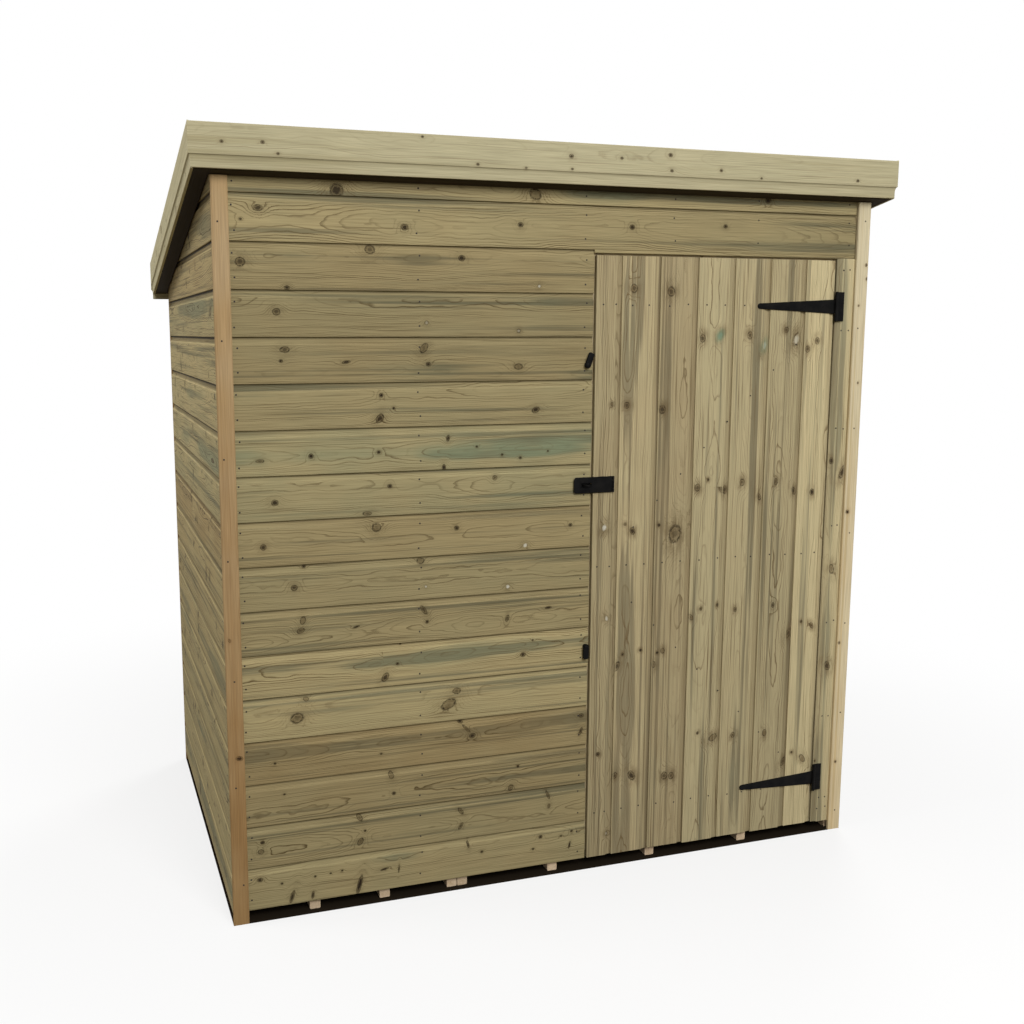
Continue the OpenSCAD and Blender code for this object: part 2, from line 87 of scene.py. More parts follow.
def put(tree, kind, settings=None, **inputs):
    node = tree.nodes.new("ShaderNode" + kind)
    for key, value in (settings or {}).items():
        setattr(node, key, value)
    for key, value in inputs.items():
        feed(tree, node.inputs[key.replace("_", " ")], value)
    return node


def calc(tree, operation, *values):
    node = put(tree, "Math", {"operation": operation})
    for socket, value in zip(node.inputs, values):
        feed(tree, socket, value)
    return node.outputs[0]


def spread(tree, value, low, high, start=0.0, end=1.0):
    node = put(tree, "MapRange", {"interpolation_type": "SMOOTHSTEP"}, Value=value, From_Min=low,
               From_Max=high,
               To_Min=start, To_Max=end)
    return node.outputs[0]


def tint(tree, share, under, over, mode="MIX"):
    node = put(tree, "Mix", {"data_type": "RGBA", "blend_type": mode})
    for index, value in ((0, share), (6, under), (7, over)):
        feed(tree, node.inputs[index], value)
    return node.outputs[2]


def mottle(tree, place, size, detail=2.0):
    scaled = put(tree, "VectorMath", {"operation": "MULTIPLY"}, Vector=place)
    scaled.inputs[1].default_value = size
    return put(tree, "TexNoise", None, Vector=scaled.outputs[0], Scale=1.0, Detail=detail).outputs["Fac"]


def new_group(name, inputs, outputs):
    tree = bpy.data.node_groups.new(name, "ShaderNodeTree")
    for label, kind, value in inputs:
        socket = tree.interface.new_socket(label, in_out="INPUT", socket_type="NodeSocket" + kind)
        if value is not None:
            socket.default_value = value
    for label, kind in outputs:
        tree.interface.new_socket(label, in_out="OUTPUT", socket_type="NodeSocket" + kind)
    return tree, tree.nodes.new("NodeGroupInput").outputs, tree.nodes.new("NodeGroupOutput").inputs


def new_material(name):
    material = bpy.data.materials.new(name)
    material.use_nodes = True
    return material, material.node_tree, material.node_tree.nodes["Principled BSDF"]


print("node helpers ready")

# %% [markdown]
# A knot is the foot of a branch, cut across or aslant. Its heart is dark, a ragged rim runs round it, and
# the grain of the board swerves past it. Each stretch of a board remembers three knots as attributes: where
# they are and how large, and their look: slant, stretch and how dark the heart is. Below nought the heart is
# pale with resin, and below minus one it is stained by copper from the treatment. A ragged smudge spreads
# round each of them.

# %% Knot group
knot_tree, given, result = new_group(
    "knot_mark", [("Place", "Vector", None), ("Knot", "Vector", None), ("Look", "Vector", None)],
    [("Push", "Float"), ("Swell", "Float"), ("Dark", "Float"), ("Body", "Float"), ("Resin", "Float"),
     ("Copper", "Float"), ("Halo", "Float")])
k = knot_tree
here = put(k, "SeparateXYZ", None, Vector=given["Place"]).outputs
knot = put(k, "SeparateXYZ", None, Vector=given["Knot"]).outputs
look = put(k, "SeparateXYZ", None, Vector=given["Look"]).outputs
present = calc(k, "GREATER_THAN", knot["Z"], 0.001)
size = calc(k, "MAXIMUM", knot["Z"], 0.001)
ahead = calc(k, "SUBTRACT", here["X"], knot["X"])
aside = calc(k, "SUBTRACT", here["Y"], knot["Y"])
lean, rise = calc(k, "COSINE", look["X"]), calc(k, "SINE", look["X"])
long_way = calc(k, "ADD", calc(k, "MULTIPLY", ahead, lean), calc(k, "MULTIPLY", aside, rise))
short_way = calc(k, "SUBTRACT", calc(k, "MULTIPLY", aside, lean), calc(k, "MULTIPLY", ahead, rise))
long_way = calc(k, "DIVIDE", long_way, calc(k, "MAXIMUM", look["Y"], 0.5))
reach = calc(k, "SQRT", calc(k, "ADD", calc(k, "POWER", long_way, 2.0), calc(k, "POWER", short_way, 2.0)))
rough = mottle(k, given["Place"], (170, 170, 170), 3.0)
reach = calc(k, "ADD", calc(k, "DIVIDE", reach, size), calc(k, "MULTIPLY_ADD", rough, 0.9, -0.45))
swerve = calc(k, "EXPONENT", calc(k, "MULTIPLY", calc(k, "POWER", reach, 2.0), -0.16))
swell = calc(k, "MULTIPLY", calc(k, "MULTIPLY", size, 1.4), swerve)
swerve = calc(k, "MULTIPLY", calc(k, "MULTIPLY", aside, swerve), -0.75)
heart = calc(k, "MAXIMUM", look["Z"], 0.0)
core_low = calc(k, "MULTIPLY_ADD", heart, 0.36, 0.14)
core_high = calc(k, "MULTIPLY_ADD", heart, 0.48, 0.42)
core = spread(k, reach, core_low, core_high, 1.0, 0.0)
core = calc(k, "MULTIPLY", core, calc(k, "MULTIPLY", heart, 0.95))
off_rim = calc(k, "ABSOLUTE", calc(k, "SUBTRACT", reach, 1.0))
rim = calc(k, "SUBTRACT", 1.0, calc(k, "DIVIDE", off_rim, 0.26))
sealed = calc(k, "MAXIMUM", calc(k, "MULTIPLY", look["Z"], -1.0), 0.0)
bare = calc(k, "SUBTRACT", 1.0, calc(k, "MINIMUM", sealed, 1.0))
broken = calc(k, "MULTIPLY", bare, spread(k, rough, 0.34, 0.60, 0.35, 1.0))
rim = calc(k, "MULTIPLY", calc(k, "MAXIMUM", rim, 0.0), broken)
dark = calc(k, "MAXIMUM", core, rim)
resin = calc(k, "MINIMUM", sealed, calc(k, "SUBTRACT", 2.0, sealed))
resin = calc(k, "MULTIPLY", spread(k, reach, 0.35, 0.95, 1.0, 0.0), resin)
copper = calc(k, "MAXIMUM", calc(k, "SUBTRACT", sealed, 1.0), 0.0)
copper = calc(k, "MULTIPLY", spread(k, reach, 0.0, 2.4, 1.0, 0.0), copper)
body = calc(k, "MULTIPLY", bare, spread(k, reach, 0.8, 1.2, 1.0, 0.0))
ragged = spread(k, mottle(k, given["Place"], (24, 70, 70), 3.0), 0.36, 0.62, 0.2, 1.0)
halo = calc(k, "MULTIPLY", spread(k, reach, 0.7, 3.8, 1.0, 0.0), ragged)
for label, value in (("Push", swerve), ("Swell", swell), ("Dark", dark), ("Resin", resin),
                     ("Copper", copper), ("Body", body), ("Halo", halo)):
    feed(k, result[label], calc(k, "MULTIPLY", value, present))
print("knot group:", len(k.nodes), "nodes")

# %% [markdown]
# Timber grain is the log seen through a flat cut. The group below measures how far a point is from the
# log's heart line, which wanders along the board, and turns that distance into rings of pale early wood
# and dark late wood, each ring with a strength of its own. A cut close to the heart then shows the pointed
# arches that boards have. Where the face runs along the rings, the dark bands are drawn thinner, because
# they would spread into broad lenses there. Outside the heartwood lies the paler sapwood.

# %% Timber group: the figure
timber_tree, given, result = new_group(
    "timber", [("Pale", "Color", (0.5, 0.4, 0.25, 1)), ("Deep", "Color", (0.4, 0.3, 0.18, 1)),
               ("Late", "Color", (0.25, 0.17, 0.09, 1)), ("Heart", "Color", (0.06, 0.035, 0.02, 1)),
               ("Cast", "Color", (0.3, 0.33, 0.2, 1)), ("Warm", "Color", (0.4, 0.28, 0.15, 1)),
               ("Ring Width", "Float", 0.0030), ("Ring Strength", "Float", 1.0), ("Hair", "Float", 0.45),
               ("Hollow", "Float", 0.0), ("Seam", "Float", 0.0), ("Arris", "Float", 0.08),
               ("Smudge", "Float", 0.3)],
    [("Color", "Color"), ("Roughness", "Float"), ("Height", "Float")])
t = timber_tree


def attribute(name):
    return put(t, "Attribute", {"attribute_name": name}).outputs


grain = attribute("grain")["Vector"]
marks = put(t, "SeparateXYZ", None, Vector=attribute("board")["Vector"]).outputs
shift = calc(t, "MULTIPLY", marks["X"], 60.0)
own = put(t, "VectorMath", {"operation": "ADD"}, Vector=grain)
feed(t, own.inputs[1], put(t, "CombineXYZ", None, X=shift, Y=shift, Z=0.0).outputs[0])
own = own.outputs[0]
knots = []
for letter in "abc":
    mark = put(t, "Group", {"node_tree": knot_tree})
    feed(t, mark.inputs["Place"], grain)
    feed(t, mark.inputs["Knot"], attribute("knot_" + letter)["Vector"])
    feed(t, mark.inputs["Look"], attribute("look_" + letter)["Vector"])
    knots.append(mark.outputs)


def of_all(label, operation):
    first = calc(t, operation, knots[0][label], knots[1][label])
    return calc(t, operation, first, knots[2][label])


at = put(t, "SeparateXYZ", None, Vector=grain).outputs
across = calc(t, "ADD", at["Y"], of_all("Push", "ADD"))
wander = calc(t, "MULTIPLY_ADD", mottle(t, own, (0.9, 0.0, 0.0)), 0.10, -0.05)
heart_across = calc(t, "ADD", calc(t, "MULTIPLY_ADD", marks["Y"], 0.13, -0.01), wander)
heart_deep = calc(t, "ADD", calc(t, "MULTIPLY_ADD", marks["Z"], 0.035, 0.006),
                  calc(t, "MULTIPLY", mottle(t, own, (1.6, 0.0, 0.0)), 0.055))
off_heart = calc(t, "SUBTRACT", across, heart_across)
radius = calc(t, "SQRT", calc(t, "ADD", calc(t, "POWER", off_heart, 2.0),
                              calc(t, "POWER", calc(t, "ADD", at["Z"], heart_deep), 2.0)))
steep = calc(t, "MINIMUM", calc(t, "DIVIDE", calc(t, "ABSOLUTE", off_heart), radius), 1.0)
sap_edge = calc(t, "MULTIPLY", mottle(t, own, (2.0, 20.0, 20.0), 3.0), 0.012)
sapwood = spread(t, calc(t, "ADD", radius, sap_edge), 0.040, 0.052)
radius = calc(t, "ADD", radius, calc(t, "MULTIPLY", mottle(t, own, (3.0, 30.0, 30.0), 3.0), 0.006))
radius = calc(t, "ADD", radius, calc(t, "MULTIPLY", mottle(t, own, (11.0, 20.0, 20.0), 2.0), 0.007))
radius = calc(t, "ADD", radius, of_all("Swell", "ADD"))
rings = calc(t, "DIVIDE", radius, given["Ring Width"])
part = calc(t, "FRACT", rings)
late_low = calc(t, "MULTIPLY_ADD", steep, -0.26, 0.70)
late_high = calc(t, "MULTIPLY_ADD", steep, -0.05, 0.95)
late = spread(t, part, late_low, late_high)
late = calc(t, "MULTIPLY", late, spread(t, part, 0.94, 1.0, 1.0, 0.0))
unlike = put(t, "TexWhiteNoise", {"noise_dimensions": "2D"})
ring_number = put(t, "CombineXYZ", None, X=calc(t, "FLOOR", rings), Y=marks["X"])
feed(t, unlike.inputs["Vector"], ring_number.outputs[0])
ring_strength = calc(t, "MULTIPLY_ADD", calc(t, "POWER", unlike.outputs["Value"], 1.9), 0.92, 0.08)
late = calc(t, "MULTIPLY", late, ring_strength)
late = calc(t, "MULTIPLY", late, spread(t, mottle(t, own, (2.5, 16.0, 16.0)), 0.30, 0.62, 0.35, 1.0))
fibre = mottle(t, own, (8.0, 420.0, 420.0), 2.0)
hair = spread(t, mottle(t, own, (3.0, 260.0, 260.0), 2.0), 0.56, 0.74)
print("figure:", len(t.nodes), "nodes")

# %% [markdown]
# Colour comes in layers: pale sapwood and deep heartwood in long streaks, the board's warmth, the green cast
# of the treatment, which the sapwood takes up less, then late wood and dark hair lines. Painted shade in the
# cove and a darker painted shade in its deepest strip, under the lip of the board above, follow, then knots
# with smudge, resin and copper, and last a painted highlight on the arris, where the eased edge would catch
# the light. Each board has its own tone, green and warmth. The relief is the fibre alone, because the rings
# of a planed board can hardly be felt.

# %% Timber group: the colours
shade = put(t, "SeparateXYZ", None, Vector=attribute("shade")["Vector"]).outputs
streak = mottle(t, own, (0.9, 26.0, 26.0), 3.0)
blotch = mottle(t, own, (5.0, 9.0, 9.0), 2.0)
stripe = calc(t, "MULTIPLY_ADD", mottle(t, own, (0.5, 110.0, 110.0), 2.0), 0.5, -0.25)
stripe = calc(t, "MULTIPLY", stripe, calc(t, "MULTIPLY_ADD", shade["Z"], 2.6, 0.7))
mixed = calc(t, "ADD", calc(t, "ADD", streak, stripe), calc(t, "MULTIPLY_ADD", sapwood, -0.24, 0.12))
colour = tint(t, spread(t, mixed, 0.41, 0.60), given["Pale"], given["Deep"])
warmed = calc(t, "MULTIPLY", shade["Z"], spread(t, blotch, 0.25, 0.7, 0.45, 1.0))
colour = tint(t, warmed, colour, given["Warm"])
taken_up = calc(t, "MULTIPLY_ADD", sapwood, -0.75, 1.15)
greened = calc(t, "MULTIPLY", spread(t, blotch, 0.35, 0.68, 1.0, 0.4), taken_up)
colour = tint(t, calc(t, "MULTIPLY", shade["Y"], greened), colour, given["Cast"])
colour = tint(t, calc(t, "MULTIPLY", late, given["Ring Strength"]), colour, given["Late"])
colour = tint(t, calc(t, "MULTIPLY", hair, given["Hair"]), colour, given["Late"])
outside = spread(t, at["Z"], 0.006, 0.008, 1.0, 0.0)
# Painted shade: the cove under the lip of the board above is darkened, and its deepest strip right under the
# lip most of all.
for start, end, amount, over in ((0.0016, 0.0042, "Hollow", "Late"), (0.0047, 0.0050, "Seam", "Heart")):
    painted_shade_mask = calc(t, "MULTIPLY", spread(t, at["Z"], start, end), outside)
    colour = tint(t, calc(t, "MULTIPLY", painted_shade_mask, given[amount]), colour, given[over])
colour = tint(t, calc(t, "MULTIPLY", of_all("Halo", "MAXIMUM"), given["Smudge"]), colour, given["Late"])
colour = tint(t, calc(t, "MULTIPLY", of_all("Body", "MAXIMUM"), 0.5), colour, given["Late"])
colour = tint(t, of_all("Dark", "MAXIMUM"), colour, given["Heart"])
colour = tint(t, of_all("Resin", "MAXIMUM"), colour, (0.62, 0.60, 0.50, 1))
colour = tint(t, of_all("Copper", "MAXIMUM"), colour, (0.10, 0.21, 0.135, 1))
# Painted highlight: the arrises are lifted towards the pale colour, as if they catch the light.
colour = tint(t, calc(t, "MULTIPLY", attribute("arris")["Fac"], given["Arris"]), colour, given["Pale"])
tone = calc(t, "MULTIPLY_ADD", shade["X"], 0.5, 0.75)
level = calc(t, "MULTIPLY", tone, calc(t, "MULTIPLY_ADD", fibre, 0.7, 0.65))
lifted = put(t, "VectorMath", {"operation": "SCALE"}, Vector=colour, Scale=level)
feed(t, result["Color"], lifted.outputs[0])
feed(t, result["Roughness"], calc(t, "MULTIPLY_ADD", late, -0.12, 0.74))
feed(t, result["Height"], calc(t, "MULTIPLY", fibre, 0.5))
print("timber group:", len(t.nodes), "nodes")

# %% [markdown]
# The timbers of the shed differ in colour and surface, not in kind. Cladding is planed and olive from the
# treatment, trims are warmer, framing and bearers are sawn, and the floor is pale. Each is the same group
# with its own colours, feeding one Principled shader and one Bump node.

# %% Timber materials
def timber_material(name, bump, **values):
    material, tree, shader = new_material(name)
    figure = put(tree, "Group", {"node_tree": timber_tree})
    for key, value in values.items():
        figure.inputs[key.replace("_", " ")].default_value = value
    relief = put(tree, "Bump", None, Height=figure.outputs["Height"], Strength=bump, Distance=0.0008)
    feed(tree, shader.inputs["Base Color"], figure.outputs["Color"])
    feed(tree, shader.inputs["Roughness"], figure.outputs["Roughness"])
    feed(tree, shader.inputs["Normal"], relief.outputs["Normal"])
    shader.inputs["Specular IOR Level"].default_value = 0.05
    return material


cladding_wood = timber_material(
    "treated cladding", 0.35, Pale=(0.384, 0.314, 0.163, 1), Deep=(0.160, 0.145, 0.086, 1),
    Late=(0.099, 0.068, 0.030, 1), Heart=(0.020, 0.014, 0.009, 1), Cast=(0.196, 0.220, 0.132, 1),
    Warm=(0.290, 0.207, 0.094, 1), Ring_Strength=1.15, Hair=0.5, Seam=0.35)
# The side and back walls take much more painted shade in the cove and at the lap, and a stronger painted
# highlight on the arris, than the front wall.
side_wood = timber_material(
    "treated side cladding", 0.35, Pale=(0.528, 0.428, 0.220, 1), Deep=(0.238, 0.209, 0.118, 1),
    Late=(0.102, 0.073, 0.033, 1), Heart=(0.020, 0.014, 0.009, 1), Cast=(0.307, 0.302, 0.179, 1),
    Warm=(0.409, 0.293, 0.138, 1), Ring_Strength=1.5, Hair=0.8, Hollow=0.55, Seam=0.9, Arris=0.45)
door_wood = timber_material(
    "treated door boards", 0.35, Pale=(0.482, 0.408, 0.237, 1), Deep=(0.184, 0.161, 0.098, 1),
    Late=(0.152, 0.106, 0.051, 1), Heart=(0.028, 0.020, 0.013, 1), Cast=(0.344, 0.320, 0.198, 1),
    Warm=(0.368, 0.277, 0.153, 1), Hair=0.85, Ring_Strength=1.15, Hollow=0.22, Seam=0.15, Arris=0.5,
    Smudge=0.7)
edge_wood = timber_material(
    "treated edge boards", 0.35, Pale=(0.449, 0.402, 0.253, 1), Deep=(0.373, 0.326, 0.192, 1),
    Late=(0.203, 0.156, 0.083, 1), Heart=(0.030, 0.020, 0.012, 1), Cast=(0.339, 0.343, 0.218, 1),
    Warm=(0.389, 0.322, 0.183, 1), Ring_Strength=0.6, Arris=0.3)
red_trim_wood = timber_material(
    "warm trim", 0.3, Pale=(0.42, 0.280, 0.130, 1), Deep=(0.37, 0.235, 0.102, 1),
    Late=(0.24, 0.140, 0.058, 1), Heart=(0.03, 0.018, 0.010, 1), Cast=(0.47, 0.400, 0.290, 1),
    Warm=(0.27, 0.146, 0.052, 1), Ring_Width=0.005, Ring_Strength=0.55)
pale_trim_wood = timber_material(
    "pale trim", 0.3, Pale=(0.681, 0.601, 0.411, 1), Deep=(0.567, 0.459, 0.268, 1),
    Late=(0.402, 0.282, 0.143, 1), Heart=(0.03, 0.020, 0.012, 1), Cast=(0.489, 0.442, 0.286, 1),
    Warm=(0.54, 0.395, 0.205, 1), Ring_Width=0.005, Ring_Strength=0.5, Hair=0.3)
sawn_wood = timber_material(
    "sawn framing", 0.8, Pale=(0.48, 0.39, 0.235, 1), Deep=(0.38, 0.30, 0.165, 1),
    Late=(0.25, 0.175, 0.09, 1), Heart=(0.03, 0.02, 0.012, 1), Cast=(0.34, 0.33, 0.20, 1),
    Warm=(0.44, 0.33, 0.18, 1))
bearer_wood = timber_material(
    "bearer timber", 0.8, Pale=(0.64, 0.50, 0.34, 1), Deep=(0.54, 0.40, 0.25, 1),
    Late=(0.36, 0.24, 0.13, 1), Heart=(0.03, 0.02, 0.012, 1), Cast=(0.50, 0.42, 0.28, 1),
    Warm=(0.60, 0.43, 0.28, 1), Ring_Strength=0.6)
floor_wood = timber_material(
    "floor boards", 0.35, Pale=(0.50, 0.415, 0.26, 1), Deep=(0.40, 0.32, 0.185, 1),
    Late=(0.25, 0.175, 0.09, 1), Heart=(0.03, 0.02, 0.012, 1), Cast=(0.36, 0.345, 0.21, 1),
    Warm=(0.44, 0.33, 0.18, 1))
# The roof timber is painted near black: painted shade for the soffit under the roof's edge, which darkens the
# roof seen from inside as well.
roof_wood_in_painted_shade = timber_material(
    "roof timber in painted shade", 0.6, Pale=(0.045, 0.033, 0.018, 1), Deep=(0.033, 0.024, 0.012, 1),
    Late=(0.018, 0.012, 0.006, 1), Heart=(0.02, 0.014, 0.009, 1), Cast=(0.033, 0.029, 0.016, 1),
    Warm=(0.039, 0.026, 0.013, 1))
print("timbers:", [m.name for m in bpy.data.materials if m.node_tree and "Group" in m.node_tree.nodes])

# %% [markdown]
# Every board is one closed section drawn across its width and pushed along its length. It could be a
# curve with a bevel profile, but then no attribute could say which board a point is on, so the mesh is
# built in code. The places on the board are kept as an attribute, so the grain follows it wherever it is
# turned. A section's third value marks the arrises. Knots are written in millimetres.

# %% Board builder
chance = random.Random(11)


def knot_at(along, across, radius, slant=0, stretch=1.2, heart=0.9):
    return Vector((along, across, radius)) / 1000, Vector((math.radians(slant), stretch, heart))


class Piece:
    """One object made of boards that share a material and ride on the same body."""

    def __init__(self):
        self.mesh = bmesh.new()
        points, faces = self.mesh.verts.layers, self.mesh.faces.layers
        self.vectors = [points.float_vector.new(name) for name in ("grain", "board", "shade")]
        self.arris = points.float.new("arris")
        self.knots = [(faces.float_vector.new("knot_" + c),
                       faces.float_vector.new("look_" + c)) for c in "abc"]

    def board(self, section, length, place, knots=(), shade=None, steps=None):
        marks = Vector((chance.random(), chance.uniform(0.30, 0.80), chance.random()))
        shade = shade or (chance.uniform(0.3, 0.7), chance.uniform(0, 0.6), chance.uniform(0, 0.4))
        first, last = (Vector(value) for value in (shade if isinstance(shade[0], tuple) else (shade,
            shade)))
        steps = steps or max(2, round(length / 0.07))
        rows = []
        for step in range(steps + 1):
            row = []
            for across, deep, *edge in section:
                local = Vector((length * step / steps, across, deep))
                vert = self.mesh.verts.new(place @ local)
                for layer, value in zip(self.vectors, (local, marks, first.lerp(last, step / steps))):
                    vert[layer] = value
                vert[self.arris] = edge[0] if edge else 0.0
                row.append(vert)
            rows.append(row)
        for step, (low, high) in enumerate(zip(rows, rows[1:])):
            middle = length * (step + 0.5) / steps
            near = sorted(knots, key=lambda knot: abs(knot[0].x - middle) - 3 * knot[0].z)[:3]
            for i in range(len(section)):
                j = (i + 1) % len(section)
                face = self.mesh.faces.new((low[i], low[j], high[j], high[i]))
                for (where, look), knot in zip(self.knots, near):
                    face[where], face[look] = knot
        self.mesh.faces.new(rows[0])
        self.mesh.faces.new(list(reversed(rows[-1])))

    def cut(self, point, outward):
        geometry = list(self.mesh.verts) + list(self.mesh.edges) + list(self.mesh.faces)
        bmesh.ops.bisect_plane(self.mesh, geom=geometry, plane_co=point, plane_no=outward, clear_outer=True)
        rims = [edge for edge in self.mesh.edges if edge.is_boundary]
        bmesh.ops.holes_fill(self.mesh, edges=rims, sides=0)

    def cut_upright(self, low, high):
        """Saws the piece off upright at the front and at the back of a box."""
        self.cut(Vector((0, low.y, 0)), -Y)
        self.cut(Vector((0, high.y, 0)), Y)


def join(mesh, part):
    data = bpy.data.meshes.new("part")
    part.to_mesh(data)
    mesh.from_mesh(data)
    part.free()
    bpy.data.meshes.remove(data)


def hand_over(mesh, name, material, slot, *nodes, body=None, sharp=35):
    """Turns a bmesh into a piece that rides, and stands for the CAD nodes that are named."""
    bmesh.ops.recalc_face_normals(mesh, faces=mesh.faces)
    data = bpy.data.meshes.new(name)
    mesh.to_mesh(data)
    mesh.free()
    data.materials.append(material)
    data.polygons.foreach_set("use_smooth", [True] * len(data.polygons))
    data.set_sharp_from_angle(angle=math.radians(sharp))
    piece = bpy.data.objects.new(name, data)
    bpy.context.scene.collection.objects.link(piece)
    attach(piece, body or body_of[nodes[0]])
    if nodes:
        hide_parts(*nodes)
    print(f"{name}: {len(data.vertices)} points")


def placed(origin, along, across, deep):
    """Matrix from (along, across, deep) on a board to the shed's frame."""
    columns = [Vector(v).normalized() for v in (along, across, deep)]
    matrix = Matrix.Identity(4)
    for i, column in enumerate([*columns, Vector(origin)]):
        for j in range(3):
            matrix[j][i] = column[j]
    return matrix


X, Y, Z = Vector((1, 0, 0)), Vector((0, 1, 0)), Vector((0, 0, 1))
front_low, front_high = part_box("front_cladding")
lintel_low, lintel_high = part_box("lintel_cladding")
left_low, left_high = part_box("left_cladding")
wall_front, wall_left = front_low.y, left_low.x
roof_front_z = left_high.z
wall_depth, roof_fall = 1.220, 0.224
roof_slope = roof_fall / wall_depth
slope_stretch = math.sqrt(1 + roof_slope ** 2)
roof_normal = Vector((0, roof_slope, 1)).normalized()
roof_line = Vector((0, wall_front, roof_front_z))
print("front wall face", round(wall_front, 4), "roof line at the front", round(roof_front_z, 4))

# %% [markdown]
# Shiplap is the board that makes this shed. Its face is flat, its top edge is scooped to a hollow cove,
# and its foot laps over the tongue of the board below, so rain runs off. The lip's arris is eased, which
# is what catches the light along every joint, and the timber colour adds a painted highlight on it besides.

# %% Shiplap section
cover, cove_h, cove_d, board_t = 0.112, 0.018, 0.005, 0.012
tongue_h, joint_gap, cove_steps = 0.006, 0.0003, 7
first_course = front_low.z


def quarter_turn():
    return [math.radians(90 * i / cove_steps) for i in range(cove_steps + 1)]


def shiplap(width, ease=0.0012, tongue=tongue_h):
    cove = [(width - cove_h * math.cos(a), cove_d * math.sin(a)) for a in quarter_turn()]
    foot, top = cove_d + joint_gap, width - cove_h
    return ([(0, ease, 1), (0.3 * ease, 0.3 * ease, 1), (ease, 0, 1), (0.005, 0), (0.5 * width, 0),
             (top - 0.004, 0), (top - ease, 0, 1), (top - 0.3 * ease, 0.25 * ease, 1)]
            + [(a, d + 0.4 * ease * (1 - i / cove_steps), max(0, 1 - i / 2))
               for i, (a, d) in enumerate(cove)]
            + [(width + tongue, foot), (width + tongue, board_t), (tongue + 0.001, board_t),
               (tongue + 0.001, foot), (0, foot)])


def some_knots(length, width, count):
    return [knot_at(1000 * chance.uniform(0.03, length - 0.03), 1000 * chance.uniform(0.12, 0.85) * width,
                    chance.uniform(2.5, 9), chance.uniform(-80, 80), chance.uniform(1.0, 2.2),
                    chance.uniform(-0.1, 1.0))
            for _ in range(count)]


print("shiplap section:", len(shiplap(cover)), "points")

# %% [markdown]
# The front wall left of the door takes fifteen courses. The knots that stand out in the photograph are
# listed by course, from the ground up, as place along the board, place across it, radius, slant, stretch
# and heart. The shades are each board's tone, green and warmth.

# %% Front wall boards
front_knots = [
    [(31, 80, 5.5), (87, 61, 3), (113, 21, 5, 72, 3.2), (167, 17, 4, 82, 2.4), (174, 67, 3), (215, 69, 2.5),
     (246, 72, 2.5), (292, 25, 6, 75, 4, 1), (360, 58, 3, 12, 4), (400, 52, 2, 85, 5),
     (595, 92, 3.5, -80, 2.6), (635, 65, 3.5), (786, 50, 3.2), (808, 83, 4.5), (870, 76, 2.5),
     (896, 46, 3, 78, 3.5), (902, 86, 3.2)],
    [(35, 44, 6, 0, 1.2, 0.2), (40, 68, 4.5), (295, 99, 6, -55, 1.7, 0.3), (296, 33, 6.5, 55, 1.6, 0.3),
     (309, 61, 3), (574, 79, 5, -55, 2.2, 0.4), (574, 36, 4.5, 55, 2.2, 0.6), (829, 90, 4, -70, 3, 0.5),
     (832, 57, 4, 80, 1.5, 0.4)],
    [(99, 78, 2.5), (381, 93, 6.5, -75, 1.5, 0.15), (388, 42, 4.5), (718, 14, 6.5, 60, 1.3, 0.3),
     (739, 72, 3)],
    [(77, 51, 3), (355, 43, 2.5), (573, 106, 5, -30, 1.6), (590, 85, 3.5, -45, 4, 0.4),
     (607, 63, 6, 10, 1.4), (925, 39, 4, 70, 2.6, 0.7), (926, 84, 5.5, 0, 1.3, 0.7)],
    [(136, 52, 12, 10, 1.3, 0.45), (160, 99, 5, 0, 1.4, 0.1), (540, 46, 12, 25, 1.7, 0.2),
     (563, 80, 8, 0, 1.3, 0.4)],
    [(368, 25, 7.5, 55, 1.6, 0.8), (373, 86, 5.5, 0, 1.2, 1), (401, 58, 3.5), (410, 109, 2.5), (751, 50, 6),
     (779, 88, 2.5)],
    [(150, 55, 6, 20, 1.6, 0.4), (156, 81, 6.5, 75, 1.5, 0), (293, 53, 3, 15, 3),
     (473, 83, 5.5, -55, 2.4, 0.6), (482, 51, 4, 60), (705, 42, 5, 75, 1.8, 0.6), (823, 62, 3.5, 5, 2.6)],
    [(136, 54, 7, 0, 1.1, 0.7), (162, 106, 4), (466, 101, 7, 0, 1.4, 0.1), (479, 33, 4, 0, 1, -0.6),
     (706, 16, 6.5, 0, 1, -0.9)],
    [(62, 49, 7, 0, 1, 0.8), (349, 83, 10, 0, 1.1, 0.3), (563, 70, 5.5), (755, 13, 6, 30, 1.3, -0.8),
     (885, 61, 4.5)],
    [(93, 46, 7), (325, 8, 5, 0, 2.2, 0.5), (385, 75, 5), (668, 85, 6, 0, 1, 0.5)],
    [(60, 38, 4, 0, 2.5, 0.5), (185, 46, 6, 0, 1, 1), (357, 50, 4, 0, 1.2, 1), (529, 5, 5, 90, 1.6, 1),
     (540, 80, 5, 80, 1.5), (618, 56, 3), (688, 33, 3), (739, 23, 3.5), (817, 38, 2.5)],
    [(361, 23, 8, 55, 1.5, 0.8), (365, 80, 5, 0, 1, 1), (397, 47, 3.5, 0, 1, 1), (781, 35, 7, 20, 1.5)],
    [(116, 55, 4), (126, 82, 7, 0, 1.6, 0.6), (277, 51, 4, 10, 2.5), (477, 84, 8, 55, 1.6, 0.4),
     (488, 44, 5), (732, 36, 7, 0, 1.5, 0.2)],
    [(108, 60, 8, 0, 1.1, 0.6), (484, 35, 5, 0, 1, -0.3), (732, 15, 5, 0, 1, -0.3)],
    [(25, 64, 10, 0, 1.1, 0.6), (135, 5, 5), (341, 99, 10, 0, 1.2, 0.5), (577, 83, 7),
     (788, 17, 5, 0, 1, -0.6)],
    [(29, 50, 3), (70, 77, 7, 0, 1.5, 0.8), (429, 42, 7), (735, 57, 6), (1050, 60, 6), (1330, 70, 5)],
    [(260, 12, 14, 0, 1.1), (775, 22, 12, -20, 1.3, 0.2), (1460, 30, 7)]]
